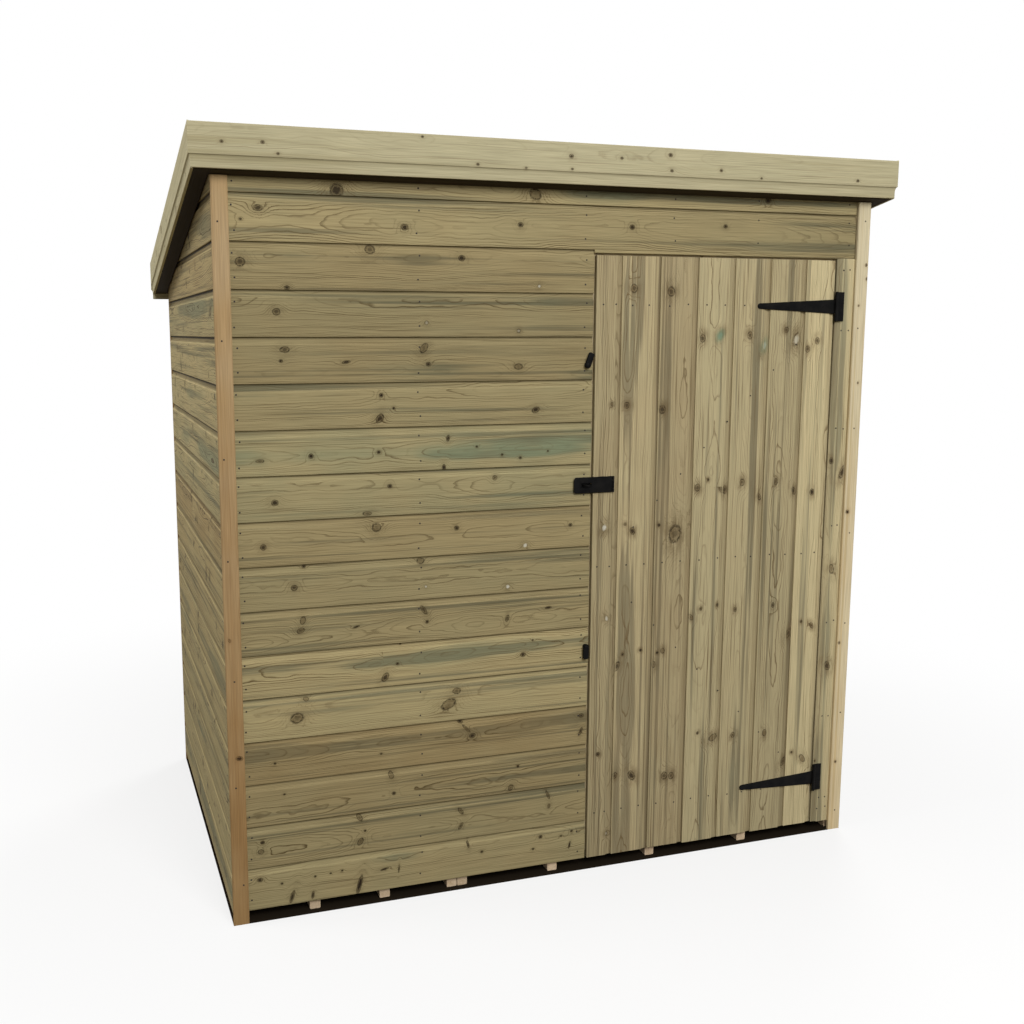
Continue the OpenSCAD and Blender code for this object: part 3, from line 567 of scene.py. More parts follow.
# Course fifteen has a pair of shades, so that board grows darker towards its right end: painted shade of the
# roof's edge.
front_shades = [(0.45, 0.40, 0.15), (0.26, 0.35, 0.20), (0.26, 0.15, 0.45), (0.35, 0.05, 0.65),
                (0.73, 0.40, 0.15), (0.75, 0.30, 0.20), (0.32, 0.30, 0.20), (0.27, 0.40, 0.15),
                (0.33, 0.15, 0.30), (0.42, 0.80, 0.0), (0.54, 0.90, 0.0), (0.33, 0.40, 0.15),
                (0.15, 0.25, 0.30), (0.11, 0.35, 0.20), (0.20, 0.15, 0.30),
                ((0.53, 0.30, 0.15), (0.12, 0.30, 0.15)), (0.65, 0.35, 0.10)]
front_run, door_courses = front_high.x - front_low.x, 15
front_boards = Piece()
for course in range(door_courses):
    place = placed((front_low.x, wall_front, first_course + course * cover), X, Z, Y)
    front_boards.board(shiplap(cover), front_run - chance.uniform(0, 0.0008), place,
                       [knot_at(*row) for row in front_knots[course]], front_shades[course])
hand_over(front_boards.mesh, "front_wall_boards", cladding_wood, "cladding", "front_cladding")

# %% [markdown]
# Two more boards run the whole width over the door. The upper one is ripped along the roof's line, and the
# lower one hangs a thin edge below its own width to cover the top of the door.

# %% Lintel boards
lintel_run = lintel_high.x - lintel_low.x
lintel_boards = Piece()
for course in (door_courses, door_courses + 1):
    place = placed((lintel_low.x, wall_front, first_course + course * cover), X, Z, Y)
    lintel_boards.board(shiplap(cover), lintel_run, place, [knot_at(*row) for row in front_knots[course]],
                        front_shades[course])
drip = 0.0079
lintel_boards.board([(0, 0.0012, 1), (0.0012, 0, 1), (drip, 0), (drip, board_t), (0, board_t)],
                    lintel_high.x - front_high.x, placed((front_high.x, wall_front, lintel_low.z), X, Z, Y),
                    shade=front_shades[door_courses])
lintel_boards.cut(roof_line, roof_normal)
hand_over(lintel_boards.mesh, "lintel_boards", cladding_wood, "cladding", "lintel_cladding")

# %% [markdown]
# The side and back walls are laid the same way and then sawn off along the roof's slope. Cutting the mesh
# with a plane and filling the cut is what the saw does, and the end grain shows there by itself.

# %% Side and back wall boards
courses = math.ceil((roof_front_z - first_course) / cover)
# The two highest courses of the left wall take lower tones than those below them: painted shade under the
# roof's edge.
left_shades = [(0.35, 0.5, 0.1), (0.35, 0.55, 0.1), (0.2, 0.5, 0.15), (0.3, 0.5, 0.1), (0.35, 0.4, 0.2),
               (0.45, 0.35, 0.3), (0.35, 0.3, 0.35), (0.45, 0.25, 0.4), (0.5, 0.05, 0.75), (0.5, 0.85, 0.0),
               (0.62, 0.85, 0.0), (0.68, 0.6, 0.1), (0.58, 0.45, 0.15), (0.50, 0.65, 0.05),
               (0.55, 0.10, 0.6), (0.4, 0.25, 0.4), (0.3, 0.3, 0.3)]
for side, node, place in (
        ("left", "left_cladding", lambda z: placed((left_low.x, left_high.y, z), -Y, Z, X)),
        ("right", "right_cladding", lambda z: placed((-left_low.x, left_low.y, z), Y, Z, -X)),
        ("back", "back_cladding", lambda z: placed((-front_low.x, -wall_front, z), -X, Z, -Y))):
    wall = Piece()
    run = -2 * front_low.x if side == "back" else left_high.y - left_low.y
    for course in range(courses):
        wall.board(shiplap(cover), run, place(first_course + course * cover),
                   some_knots(run, cover, chance.randint(3, 8)),
                   left_shades[course] if side == "left" else None)
    wall.cut(roof_line, roof_normal)
    hand_over(wall.mesh, f"{side}_wall_boards", side_wood, "cladding", node)

# %% [markdown]
# The rest of the timber is plain rectangular stuff with eased edges: trims, studs, rails and bearers. Each
# CAD solid gives the box, and the board builder fills it with a board whose grain runs the long way.

# %% Solids of a CAD node
def solids(node):
    """Boxes of the separate solids of a CAD node, whose points are doubled along sharp edges."""
    mesh = frame["nodes"][node].data
    keys = [tuple(round(c * 20000) for c in v.co) for v in mesh.vertices]
    home = {key: key for key in keys}

    def root(key):
        while home[key] != key:
            home[key] = home[home[key]]
            key = home[key]
        return key

    for polygon in mesh.polygons:
        corners = [keys[i] for i in polygon.vertices]
        for corner in corners[1:]:
            home[root(corner)] = root(corners[0])
    boxes = {}
    for key, vertex in zip(keys, mesh.vertices):
        boxes.setdefault(root(key), []).append(vertex.co)
    found = [(Vector(map(min, zip(*points))), Vector(map(max, zip(*points)))) for points in boxes.values()]
    return sorted(found, key=lambda box: tuple(box[0]))


def squared(width, thick, ease=0.0015):
    near, rim = min(0.005, width / 3), min(0.004, thick / 3)
    return [(ease, 0, 1), (near, 0), (width - near, 0), (width - ease, 0, 1), (width, ease, 1),
            (width, rim), (width, thick - rim), (width, thick - ease, 1), (width - ease, thick, 1),
            (width - near, thick), (near, thick), (ease, thick, 1), (0, thick - ease, 1), (0, thick - rim),
            (0, rim), (0, ease, 1)]


def fill_box(piece, low, high, ease=0.0015, knots=1, shade=None):
    """A plank that fills a box, grain along its longest side, thinnest side as its depth."""
    size = high - low
    order = sorted(range(3), key=lambda i: -size[i])
    axes = [Vector([1.0 if i == j else 0.0 for j in range(3)]) for i in order]
    along, wide, thick = (size[i] for i in order)
    marked = some_knots(along, wide, knots) if isinstance(knots, int) else [knot_at(*row) for row in knots]
    piece.board(squared(wide, thick, ease), along, placed(low, *axes), marked, shade)


def timber_from(node, name, material, slot, **options):
    piece = Piece()
    for low, high in solids(node):
        fill_box(piece, low, high, **options)
    hand_over(piece.mesh, name, material, slot, node)


print("front studs:", len(solids("front_studs")), "solids")

# %% [markdown]
# Corner trims hide the end grain of the cladding. They are planed battens from another timber than the
# boards: the left one is reddish, the right one is pale with a few black knots.

# %% Corner trims
pale_knots = [(215, 14, 4), (585, 6, 4), (978, 11, 6, 0, 1, 1), (1352, 24, 3), (1570, 13, 3), (1645, 36, 4),
              (1683, 32, 4)]
red_shade = (0.38, 0.0, 0.80), (0.48, 0.75, 0.0)
pale_shade = (0.78, 0.0, 0.55), (0.34, 0.3, 0.10)
for corner, wood, knots, shade in (
        ("front_trim_left", red_trim_wood, 2, red_shade),
        ("front_trim_right", pale_trim_wood, pale_knots, pale_shade),
        ("back_trim_left", red_trim_wood, 3, red_shade), ("back_trim_right", pale_trim_wood, 3,
                                                          pale_shade)):
    timber_from(corner, corner + "_board", wood, "trim", ease=0.0025, knots=knots, shade=shade)

# %% [markdown]
# Bearers lift the floor off the wet ground, and ledges hold the door's boards together. Both are sawn stuff
# that nobody planes, so they get a rougher surface and a wider eased edge.

# %% Bearers and door ledges
for node, name, wood in (("bearers_left", "left_bearers", bearer_wood),
                         ("bearers_right", "right_bearers", bearer_wood),
                         ("door_ledges", "ledges", sawn_wood)):
    timber_from(node, name, wood, "framing", ease=0.002)

# %% [markdown]
# Studs stop under the sloping top rails, so they are cut by the roof's plane lowered by one rail. A top
# rail is what lies between the two planes.

# %% Wall framing
rail_w = 0.045
rail_drop = rail_w * slope_stretch
rail_line = roof_line - Vector((0, 0, rail_drop))
for side in ("front", "left", "right", "back"):
    studs = Piece()
    for low, high in solids(side + "_studs"):
        fill_box(studs, low, high, ease=0.002)
    studs.cut(rail_line, roof_normal)
    hand_over(studs.mesh, side + "_wall_studs", sawn_wood, "framing", side + "_studs")
    rails, tops = Piece(), Piece()
    boxes = solids(side + "_rails")
    highest = max(high.z for low, high in boxes)
    for low, high in boxes:
        fill_box(tops if high.z == highest else rails, low, high, ease=0.002)
    tops.cut(roof_line, roof_normal)
    tops.cut(rail_line, -roof_normal)
    join(rails.mesh, tops.mesh)
    hand_over(rails.mesh, side + "_wall_rails", sawn_wood, "framing", side + "_rails")

# %% [markdown]
# The floor is tongued boards laid across the bearers, in two panels. A narrow gap and an eased edge
# between boards is enough to read them as boards through the open door.

# %% Floor boards
board_w, board_gap = 0.1085, 0.001
for node in ("floor_left", "floor_right"):
    low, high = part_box(node)
    panel = Piece()
    count = round((high.y - low.y) / board_w)
    pitch = (high.y - low.y) / count
    for i in range(count):
        fill_box(panel, Vector((low.x, low.y + i * pitch + board_gap / 2, low.z)),
                 Vector((high.x, low.y + (i + 1) * pitch - board_gap / 2, high.z)), ease=0.001, knots=2)
    hand_over(panel.mesh, node.replace("floor", "floor_panel"), floor_wood, "floor", node)

# %% [markdown]
# The roof is one sloping panel. Its pieces are built in the roof's own directions, along the eaves, down
# the slope and square to it, and the upright cuts at the edges are made afterwards.

# %% Roof framing
down = Vector((0, 1, -roof_slope)).normalized()
plank_run, plank_start = 1.6, -0.1


def sloped(origin_x, start, lift, along_eaves):
    """Place of a roof piece: start metres down the slope from the wall's front face, lift above its line."""
    origin = Vector((origin_x, roof_line.y, roof_line.z)) + down * start + roof_normal * lift
    return placed(origin, X, down, roof_normal) if along_eaves else placed(origin, down, X, roof_normal)


bar_h, purlin_w, purlin_h, sawn_ease = 0.070, 0.028, 0.045, 0.002
cross_bar_w, cross_bar_spare = 0.11, 0.03
side_bars = Piece()
for low, high in solids("roof_side_bars"):
    side_bars.board(squared(high.x - low.x, bar_h, sawn_ease), plank_run,
                    sloped(low.x, plank_start, -bar_h, False))
side_bars.cut_upright(*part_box("roof_side_bars"))
hand_over(side_bars.mesh, "roof_side_bar_pair", roof_wood_in_painted_shade, "framing", "roof_side_bars")

cross_bars = bmesh.new()
for low, high in solids("roof_cross_bars"):
    bar = Piece()
    start = (low.y - wall_front) * slope_stretch - cross_bar_spare
    bar.board(squared(cross_bar_w, bar_h, sawn_ease), high.x - low.x, sloped(low.x, start, -bar_h, True))
    bar.cut_upright(low, high)
    join(cross_bars, bar.mesh)
hand_over(cross_bars, "roof_cross_bar_pair", roof_wood_in_painted_shade, "framing", "roof_cross_bars")

purlins = Piece()
purlin_low, purlin_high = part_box("roof_purlins")
for share in (1 / 3, 2 / 3):
    purlins.board(squared(purlin_w, purlin_h, sawn_ease), purlin_high.x - purlin_low.x,
                  sloped(purlin_low.x, share * wall_depth - purlin_w / 2, -purlin_h, True))
hand_over(purlins.mesh, "purlin_pair", roof_wood_in_painted_shade, "framing", "roof_purlins")

# %% [markdown]
# Roof boards run down the slope, from the front edge to the back, and show only from inside. Each is made
# too long, and one upright cut at either end brings the whole deck to its line, as a saw would.

# %% Roof boards
deck_t = 0.012
deck_low, deck_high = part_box("roof_deck")
deck = Piece()
count = round((deck_high.x - deck_low.x) / board_w)
pitch = (deck_high.x - deck_low.x) / count
for i in range(count):
    place = sloped(deck_low.x + i * pitch + board_gap / 2, plank_start, 0, False)
    deck.board(squared(pitch - board_gap, deck_t, 0.001), plank_run, place, some_knots(plank_run, pitch, 2))
deck.cut_upright(deck_low, deck_high)
hand_over(deck.mesh, "roof_boards", roof_wood_in_painted_shade, "floor", "roof_deck")

# %% [markdown]
# The roof's edge boards are the same shiplap turned upside down: the flat on top, the cove below it and
# the thin edge at the bottom. They meet in mitres at the corners, so each board is pushed past the corner
# and cut by an upright plane at 45 degrees.

# %% Edge boards of the roof
fascia_low, fascia_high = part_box("front_fascia")
lip_h, lip_d, lip_cove, fascia_t = 0.030, 0.005, 0.015, 0.012
fascia_h = fascia_high.z - fascia_low.z


def edge_section(height, ease=0.0014):
    cove = [(lip_h - lip_cove + lip_cove * math.cos(a), lip_d * math.sin(a)) for a in quarter_turn()]
    return ([(height - 0.3 * ease, 0.3 * ease, 1), (height - ease, 0, 1), (height - 0.005, 0),
             (lip_h + 0.005, 0), (lip_h + ease, 0, 1)]
            + [(a, d + 0.3 * ease * (1 - i / cove_steps), max(0, 1 - i / 2))
               for i, (a, d) in enumerate(cove)]
            + [(0.004, lip_d), (ease, lip_d, 1), (0.3 * ease, lip_d + 0.3 * ease, 1), (0, lip_d + ease, 1),
               (0, fascia_t), (height, fascia_t), (height, ease, 1)])


eaves = fascia_high.x - fascia_low.x
fascia_knots = [(76, 59, 3.5), (169, 62, 4), (204, 38, 3), (552, 94, 3), (693, 36, 3.5), (820, 33, 3),
                (942, 67, 5), (945, 36, 3), (1082, 69, 3.5), (1221, 83, 5), (1226, 44, 4), (1372, 51, 4),
                (1495, 36, 3), (1801, 42, 4)]
for name, node, turn in (("front_edge_board", "front_fascia", 1), ("back_edge_board", "back_fascia", -1)):
    low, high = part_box(node)
    face = low.y if turn > 0 else high.y
    board = Piece()
    knots = [knot_at(*row) for row in fascia_knots] if turn > 0 else some_knots(eaves, 0.1, 9)
    place = placed((-turn * eaves / 2, face, low.z), turn * X, Z, turn * Y)
    board.board(edge_section(high.z - low.z), eaves, place, knots, (0.5, 0.35, 0.0))
    for side in (-1, 1):
        board.cut(Vector((side * eaves / 2, face, 0)), Vector((side, turn, 0)))
    hand_over(board.mesh, name, edge_wood, "cladding", node)

# The side edge boards take a tone of 1.3 against 0.5 on the front and back ones: painted light that brightens
# the boards facing sideways.
barge_run, barge_start = 1.7, -0.2
for name, node, side in (("left_edge_board", "left_barge", -1), ("right_edge_board", "right_barge", 1)):
    low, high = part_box(node)
    face = low.x if side < 0 else high.x
    board = Piece()
    origin = Vector((face, roof_line.y, roof_line.z)) + down * barge_start - roof_normal * bar_h
    board.board(edge_section(fascia_h), barge_run, placed(origin, down, roof_normal, -side * X),
                some_knots(barge_run, 0.1, 8), (1.3, 0.4, 0.0))
    for end in (-1, 1):
        corner = Vector((face, low.y if end < 0 else high.y, 0))
        board.cut(corner, Vector((-side, end, 0)))
    hand_over(board.mesh, name, edge_wood, "cladding", node)

# %% [markdown]
# Mineral felt is tar board rolled in crushed slate. It is laid in two sheets along the roof, the upper
# lapping the lower, and nailed along the edges and the lap. The slate is a fine speckle in colour and bump.

# %% Roof felt
felt, tree, shader = new_material("mineral felt")
spot = put(tree, "TexCoord").outputs["Object"]
grit = mottle(tree, spot, (900, 900, 900), 1.0)
stain = mottle(tree, spot, (3, 3, 3), 3.0)
slate = tint(tree, spread(tree, grit, 0.35, 0.65), (0.032, 0.040, 0.034, 1), (0.085, 0.100, 0.086, 1))
slate = tint(tree, calc(tree, "MULTIPLY", stain, 0.35), slate, (0.10, 0.10, 0.09, 1))
feed(tree, shader.inputs["Base Color"], slate)
relief = put(tree, "Bump", None, Height=grit, Strength=0.7, Distance=0.001)
feed(tree, shader.inputs["Normal"], relief.outputs["Normal"])
shader.inputs["Roughness"].default_value = 0.92

felt_low, felt_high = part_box("roof_felt")
sheet_t, lap, lap_lift, sheet_spare, rows = 0.002, 0.075, 0.0012, 0.02, 14
slope_run = (felt_high.y - felt_low.y) * slope_stretch
slope_start = (felt_low.y - wall_front) * slope_stretch
width = slope_run / 2 + lap / 2 + sheet_spare
felt_sheets = bmesh.new()
for start, lift in ((slope_start + slope_run / 2 - lap / 2, 0.0), (slope_start - sheet_spare, lap_lift)):
    sheet = Piece()
    section = [(width * k / rows, sheet_t) for k in range(rows + 1)] + [(width, 0), (0, 0)]
    sheet.board(section, felt_high.x - felt_low.x, sloped(felt_low.x, start, deck_t + lift, True), steps=40)
    for vert in sheet.mesh.verts:
        wave = math.sin(9 * vert.co.x + 4 * vert.co.y) * math.sin(5 * vert.co.y + 1.3) * 0.0007
        vert.co += roof_normal * max(wave, 0)
    sheet.cut_upright(felt_low, felt_high)
    join(felt_sheets, sheet.mesh)
hand_over(felt_sheets, "felt_sheets", felt, "felt", "roof_felt")

# %% [markdown]
# The door is seven upright shiplap boards on three ledges and two braces. The first and last boards are
# ripped to width. A board's cove is on its right, so each joint shows a hollow band, darkened with painted
# shade, and then a bright edge with a painted highlight.

# %% Door boards
door_low, door_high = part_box("door_boards")
door_h = door_high.z - door_low.z
first_w, full_w, full_count, no_tongue = 0.075, 0.114, 5, 0.0001
last_w = door_high.x - door_low.x - first_w - full_count * full_w
door_widths = [first_w] + [full_w] * full_count + [last_w]
door_knots = [
    [(62, 60, 5, 0, 1.2, -0.4), (302, 28, 5.5, 0, 1.1), (690, 47, 6, -20, 1.4, -0.7),
     (943, 35, 8, 15, 1.4, -0.9), (1277, 52, 4.5, 0, 1.2, 0.3)],
    [(226, 59, 9, -30, 1.6), (232, 6, 7, 30, 1.4, 0.7), (550, 6, 7, 25, 2, 0.8), (583, 23, 4),
     (590, 79, 4, 90, 1.2, 1), (929, 45, 7, -25, 1.4), (949, 22, 4, 0, 1, 0.6), (1273, 20, 7, 0, 1.2, 0.7),
     (1581, 34, 9, 0, 1.2, 0.6)],
    [(208, 72, 8, 0, 1.2, 0.5), (211, 50, 9, 0, 1.2, 0.6), (544, 6, 6, 0, 1.5, 0.4), (577, 17, 4, 0, 1, 1),
     (581, 34, 6, 0, 1.2, 0), (913, 62, 17, 10, 1.4, 0.45), (940, 12, 4.5, 0, 1, 1),
     (1258, 13, 9, 0, 1.2, 0.8), (1573, 31, 10, 0, 1.2, 0.6)],
    [(309, 92, 9, 70, 1.6, 0.25), (328, 40, 4), (673, 6, 6, -40, 1.6, 0.4), (695, 38, 4.5, 0, 1.2, 0.6),
     (702, 92, 5, 0, 1), (1031, 104, 7, 0, 1.5, 0.7), (1035, 88, 5, -35, 2.6, 0.5),
     (1041, 15, 8, 0, 1.2, 0.6), (1062, 48, 3.5), (1451, 17, 8, 0, 1.3, 0.7),
     (1458, 71, 8, 25, 1.5, -1.75)],
    [(307, 43, 6, 0, 1.3, 0.6), (682, 36, 5, 0, 1.4, 0.7), (1004, 102, 6, -30, 1.8, 0.6),
     (1048, 43, 7, 0, 1.4, 0.5), (1428, 100, 9, 20, 1.8, -1.45), (1457, 51, 7.5, 0, 1.3, 0.6)],
    [(203, 106, 7, 30, 2, 0.6), (302, 36, 6.5, 0, 1.5, 0), (596, 106, 8, 30, 1.8, 0.6),
     (686, 47, 5, 0, 1.5, 0.8), (1017, 102, 7, -30, 1.6, 0.8), (1046, 40, 6, 0, 1.5, 0.5),
     (1446, 88, 12, 20, 1.5, -0.45), (1473, 54, 6.5, 0, 1.2, 0.6)],
    [(206, 57, 7, -35, 1.9, 0.2), (229, 19, 3.5), (613, 68, 6, -40, 1.6, 0.6), (628, 32, 4),
     (1010, 48, 7, 0, 1.3, 1), (1418, 12, 7, 0, 1.3, 0.7), (1441, 43, 7, 0, 1.3, 0.7)]]
door_shades = [(0.24, 0.15, 0.40), (0.56, 0.15, 0.40), (0.27, 0.10, 0.50), (0.46, 0.45, 0.10),
               (0.47, 0.35, 0.20), (0.33, 0.35, 0.20), (0.96, 0.40, 0.10)]
door_boards = Piece()
x = door_low.x
for i, width in enumerate(door_widths):
    section = shiplap(width, tongue=tongue_h if i < len(door_widths) - 1 else no_tongue)
    if i == 0:
        section = section[:-3] + [(0, board_t)]
    trim_off = chance.uniform(0, 0.003)
    door_boards.board(section, door_h - trim_off, placed((x, door_low.y, door_low.z + trim_off), Z, X, Y),
                      [knot_at(*row) for row in door_knots[i]], door_shades[i])
    x += width
hand_over(door_boards.mesh, "door_planks", door_wood, "cladding", "door_boards")

# %% [markdown]
# A brace runs aslant from ledge to ledge and keeps the door from sagging. It is laid past both ledges and
# sawn level at their edges, so its ends sit flat on them.

# %% Door braces
ledge_boxes = sorted(solids("door_ledges"), key=lambda box: box[0].z)
brace_w = ledge_boxes[0][1].z - ledge_boxes[0][0].z
ledge_low, ledge_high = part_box("door_ledges")
brace_spare = 0.1
brace_bays = ((ledge_boxes[0], ledge_boxes[1], -1), (ledge_boxes[1], ledge_boxes[2], 1))
braces = bmesh.new()
for lower, upper, rising in brace_bays:
    foot, head = lower[1].z, upper[0].z
    left, right = ledge_low.x, ledge_high.x - brace_w
    start, end = (left, right) if rising > 0 else (right, left)
    line = Vector((end - start, 0, head - foot))
    side = Vector((line.z, 0, -line.x)).normalized()
    brace = Piece()
    origin = Vector((start, ledge_low.y, foot)) - line.normalized() * brace_spare
    section = squared(brace_w * abs(side.x), ledge_high.y - ledge_low.y, sawn_ease)
    brace.board(section, line.length + 2 * brace_spare, placed(origin, line, side, Y),
                some_knots(line.length, brace_w, 2))
    brace.cut(Vector((0, 0, foot)), -Z)
    brace.cut(Vector((0, 0, head)), Z)
    join(braces, brace.mesh)
hand_over(braces, "brace_pair", sawn_wood, "framing", "door_braces")

# %% [markdown]
# A strip of the same shiplap, without its tongue, covers the post that the door hangs on. It is turned the
# other way round, so its cove lies beside the door.

# %% Cover strip on the hinge post
strip_low, strip_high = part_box("hinge_strip")
strip_w = strip_high.x - strip_low.x
strip_t = strip_high.y - strip_low.y
strip_section = shiplap(strip_w, tongue=no_tongue)[:-5] + [(strip_w, strip_t), (0, strip_t)]
strip_knots = [(192, 50, 3), (487, 27, 9, 20, 1.5, 0.8), (781, 28, 8, 10, 1.7, 0.35),
               (1068, 6, 9, -25, 2.2), (1100, 44, 6, 0, 1.5)]
strip = Piece()
place = placed((strip_high.x, strip_low.y, strip_low.z), Z, -X, Y)
strip.board(strip_section, strip_high.z - strip_low.z, place, [knot_at(*row) for row in strip_knots],
            (0.85, 0.45, 0.10))
hand_over(strip.mesh, "door_cover_strip", door_wood, "cladding", "hinge_strip")

# %% [markdown]
# The ironwork is pressed steel, dipped in black paint that runs thin on the edges. A faint speckle keeps
# the paint from looking like plastic, and eased edges give each plate its thin line of light.

# %% Ironwork material
iron, tree, shader = new_material("black ironwork")
spot = put(tree, "TexCoord").outputs["Object"]
speckle = mottle(tree, spot, (420, 420, 420), 2.0)
cloud = mottle(tree, spot, (40, 40, 40), 2.0)
paint = tint(tree, spread(tree, cloud, 0.3, 0.7), (0.002, 0.002, 0.002, 1), (0.006, 0.0055, 0.005, 1))
feed(tree, shader.inputs["Base Color"], paint)
feed(tree, shader.inputs["Roughness"], spread(tree, speckle, 0.2, 0.8, 0.40, 0.56))
shader.inputs["Specular IOR Level"].default_value = 0.06
relief = put(tree, "Bump", None, Height=speckle, Strength=0.25, Distance=0.0004)
feed(tree, shader.inputs["Normal"], relief.outputs["Normal"])

nail_steel, tree, shader = new_material("nail heads")
rust = mottle(tree, put(tree, "TexCoord").outputs["Object"], (300, 300, 300), 2.0)
heads = tint(tree, rust, (0.010, 0.008, 0.006, 1), (0.030, 0.019, 0.012, 1))
feed(tree, shader.inputs["Base Color"], heads)
feed(tree, shader.inputs["Roughness"], spread(tree, rust, 0.3, 0.7, 0.45, 0.7))
shader.inputs["Metallic"].default_value = 0.4
print("metals:", iron.name, nail_steel.name)

# %% [markdown]
# Pressed steel is flat plate, and pins and screw heads are turned. So a plate is an outline that is filled,
# thickened and eased along its outer edge, and a turned part is a profile carried round an axis. A screw
# head is a low dome whose middle is pushed in where the cross recess is.

# %% Plates, turned parts and screws
def plate(mesh, outline, outer_y, inner_y, hole=(), ease=0.0006):
    """A flat plate in the upright plane from its outline, with eased outer edges and an optional hole."""
    part = bmesh.new()
    loops = [[part.verts.new((x, outer_y, z)) for x, z in points] for points in (outline, hole) if points]
    edges = [part.edges.new((loop[i - 1], loop[i])) for loop in loops for i in range(len(loop))]
    bmesh.ops.triangle_fill(part, edges=edges, use_beauty=True, use_dissolve=True)
    grown = bmesh.ops.extrude_face_region(part, geom=list(part.faces))["geom"]
    bmesh.ops.translate(part, verts=[g for g in grown if isinstance(g, bmesh.types.BMVert)],
                        vec=(0, inner_y - outer_y, 0))
    bmesh.ops.recalc_face_normals(part, faces=part.faces)
    rims = [e for e in part.edges if all(abs(v.co.y - outer_y) < 1e-6 for v in e.verts)
            and abs(e.link_faces[0].normal.dot(e.link_faces[1].normal)) < 0.5]
    bmesh.ops.bevel(part, geom=rims, offset=ease, segments=2, profile=0.6, affect="EDGES")
    join(mesh, part)


def turned(mesh, profile, place, steps=20):
    """Revolves (radius, height) points about the height axis of a place."""
    rings = []
    for radius, height in profile:
        rings.append([mesh.verts.new(place @ Vector((radius * math.cos(2 * math.pi * k / steps),
                                                     radius * math.sin(2 * math.pi * k / steps), height)))
                      for k in range(steps)])
    for low, high in zip(rings, rings[1:]):
        for k in range(steps):
            mesh.faces.new((low[k], low[(k + 1) % steps], high[(k + 1) % steps], high[k]))
    mesh.faces.new(list(reversed(rings[0])))
    mesh.faces.new(rings[-1])


def oblong(left, right, middle, half):
    return [(left, middle - half), (right, middle - half), (right, middle + half), (left, middle + half)]


outward = placed((0, 0, 0), X, Z, -Y).to_3x3()


def facing(x, y, z):
    """Place whose height axis points out of the front wall."""
    return Matrix.Translation((x, y, z)) @ outward.to_4x4()


def rod(mesh, x, y, low_z, high_z, radius, ease=0.0006):
    lower = [(radius - ease, low_z), (radius, low_z + ease)]
    upper = [(radius, high_z - ease), (radius - ease, high_z)]
    turned(mesh, lower + upper, Matrix.Translation((x, y, 0)), 28)


def screw(mesh, x, y, z, radius=0.004, lift=0.0009):
    """Domed head with a cross-shaped recess."""
    place, steps, rings, recess_depth = facing(x, y, z), 32, 6, 0.0011
    rows = []
    for ring in range(rings + 1):
        share = 1 - ring / (rings + 0.5)
        row = []
        for k in range(steps):
            u, v = (radius * share * f(2 * math.pi * k / steps) for f in (math.cos, math.sin))
            recess = min(abs(u), abs(v)) < 0.17 * radius and share < 0.66
            height = lift * (1 - share ** 2) - (recess_depth if recess else 0)
            row.append(mesh.verts.new(place @ Vector((u, v, height))))
        rows.append(row)
    for low, high in zip(rows, rows[1:]):
        for k in range(steps):
            mesh.faces.new((low[k], low[(k + 1) % steps], high[(k + 1) % steps], high[k]))
    mesh.faces.new(rows[-1])


print("plate, rod and screw helpers ready")

# %% [markdown]
# A T-hinge is a long tapered strap on the door and a short plate on the post, joined by a pin through
# three knuckles. The strap rides on the door and the plate on the shed, so they part when the door opens.

# %% T-hinges
strap_t, barrel_r, knuckle_gap, pin_r, pin_out = 0.003, 0.0045, 0.0005, 0.0025, 0.0012
pin_x, pin_y, _ = pivot["door_hinge"]
for level in ("upper", "lower"):
    low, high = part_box(level + "_hinge_strap")
    z, half_root, tip_r = (low.z + high.z) / 2, (high.z - low.z) / 2, 0.0075
    tip = low.x + tip_r
    strap = bmesh.new()
    arc = [(tip - tip_r * math.sin(a), z + tip_r * math.cos(a))
           for a in (math.pi * k / 10 for k in range(11))]
    plate(strap, [(pin_x, z + half_root), *arc, (pin_x, z - half_root)], door_low.y - strap_t, door_low.y,
          ease=0.0008)
    rod(strap, pin_x, pin_y, z - half_root, z + half_root, barrel_r)
    for share in (0.17, 0.40, 0.64, 0.88):
        screw(strap, pin_x + share * (low.x - pin_x), door_low.y - strap_t + 0.0002, z, 0.0038)
    hand_over(strap, level + "_strap", iron, "ironwork", level + "_hinge_strap")
    low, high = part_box(level + "_hinge_plate")
    z, half, notch = (low.z + high.z) / 2, (high.z - low.z) / 2, half_root + knuckle_gap
    inner = pin_x + barrel_r + knuckle_gap
    back = bmesh.new()
    outline = [(pin_x, z + half), (pin_x, z + notch), (inner, z + notch), (inner, z - notch),
               (pin_x, z - notch), (pin_x, z - half), (high.x, z - half), (high.x, z + half)]
    plate(back, outline, strip_low.y - strap_t, strip_low.y, ease=0.0008)
    for bottom, top in ((z - half, z - notch), (z + notch, z + half)):
        rod(back, pin_x, pin_y, bottom, top, barrel_r)
    rod(back, pin_x, pin_y, z - half - pin_out, z + half + pin_out, pin_r)
    for dx, dz in ((0.014, 0.031), (0.019, 0.010), (0.019, -0.010), (0.014, -0.031)):
        screw(back, pin_x + dx, strip_low.y - strap_t + 0.0002, z + dz, 0.0034)
    hand_over(back, level + "_plate", iron, "ironwork", level + "_hinge_plate")

# %% [markdown]
# The hasp is a leaf screwed to the door and a slotted flap that folds over it. The flap drops over a wire
# staple on the wall, and its slot is punched wide enough to swing clear.

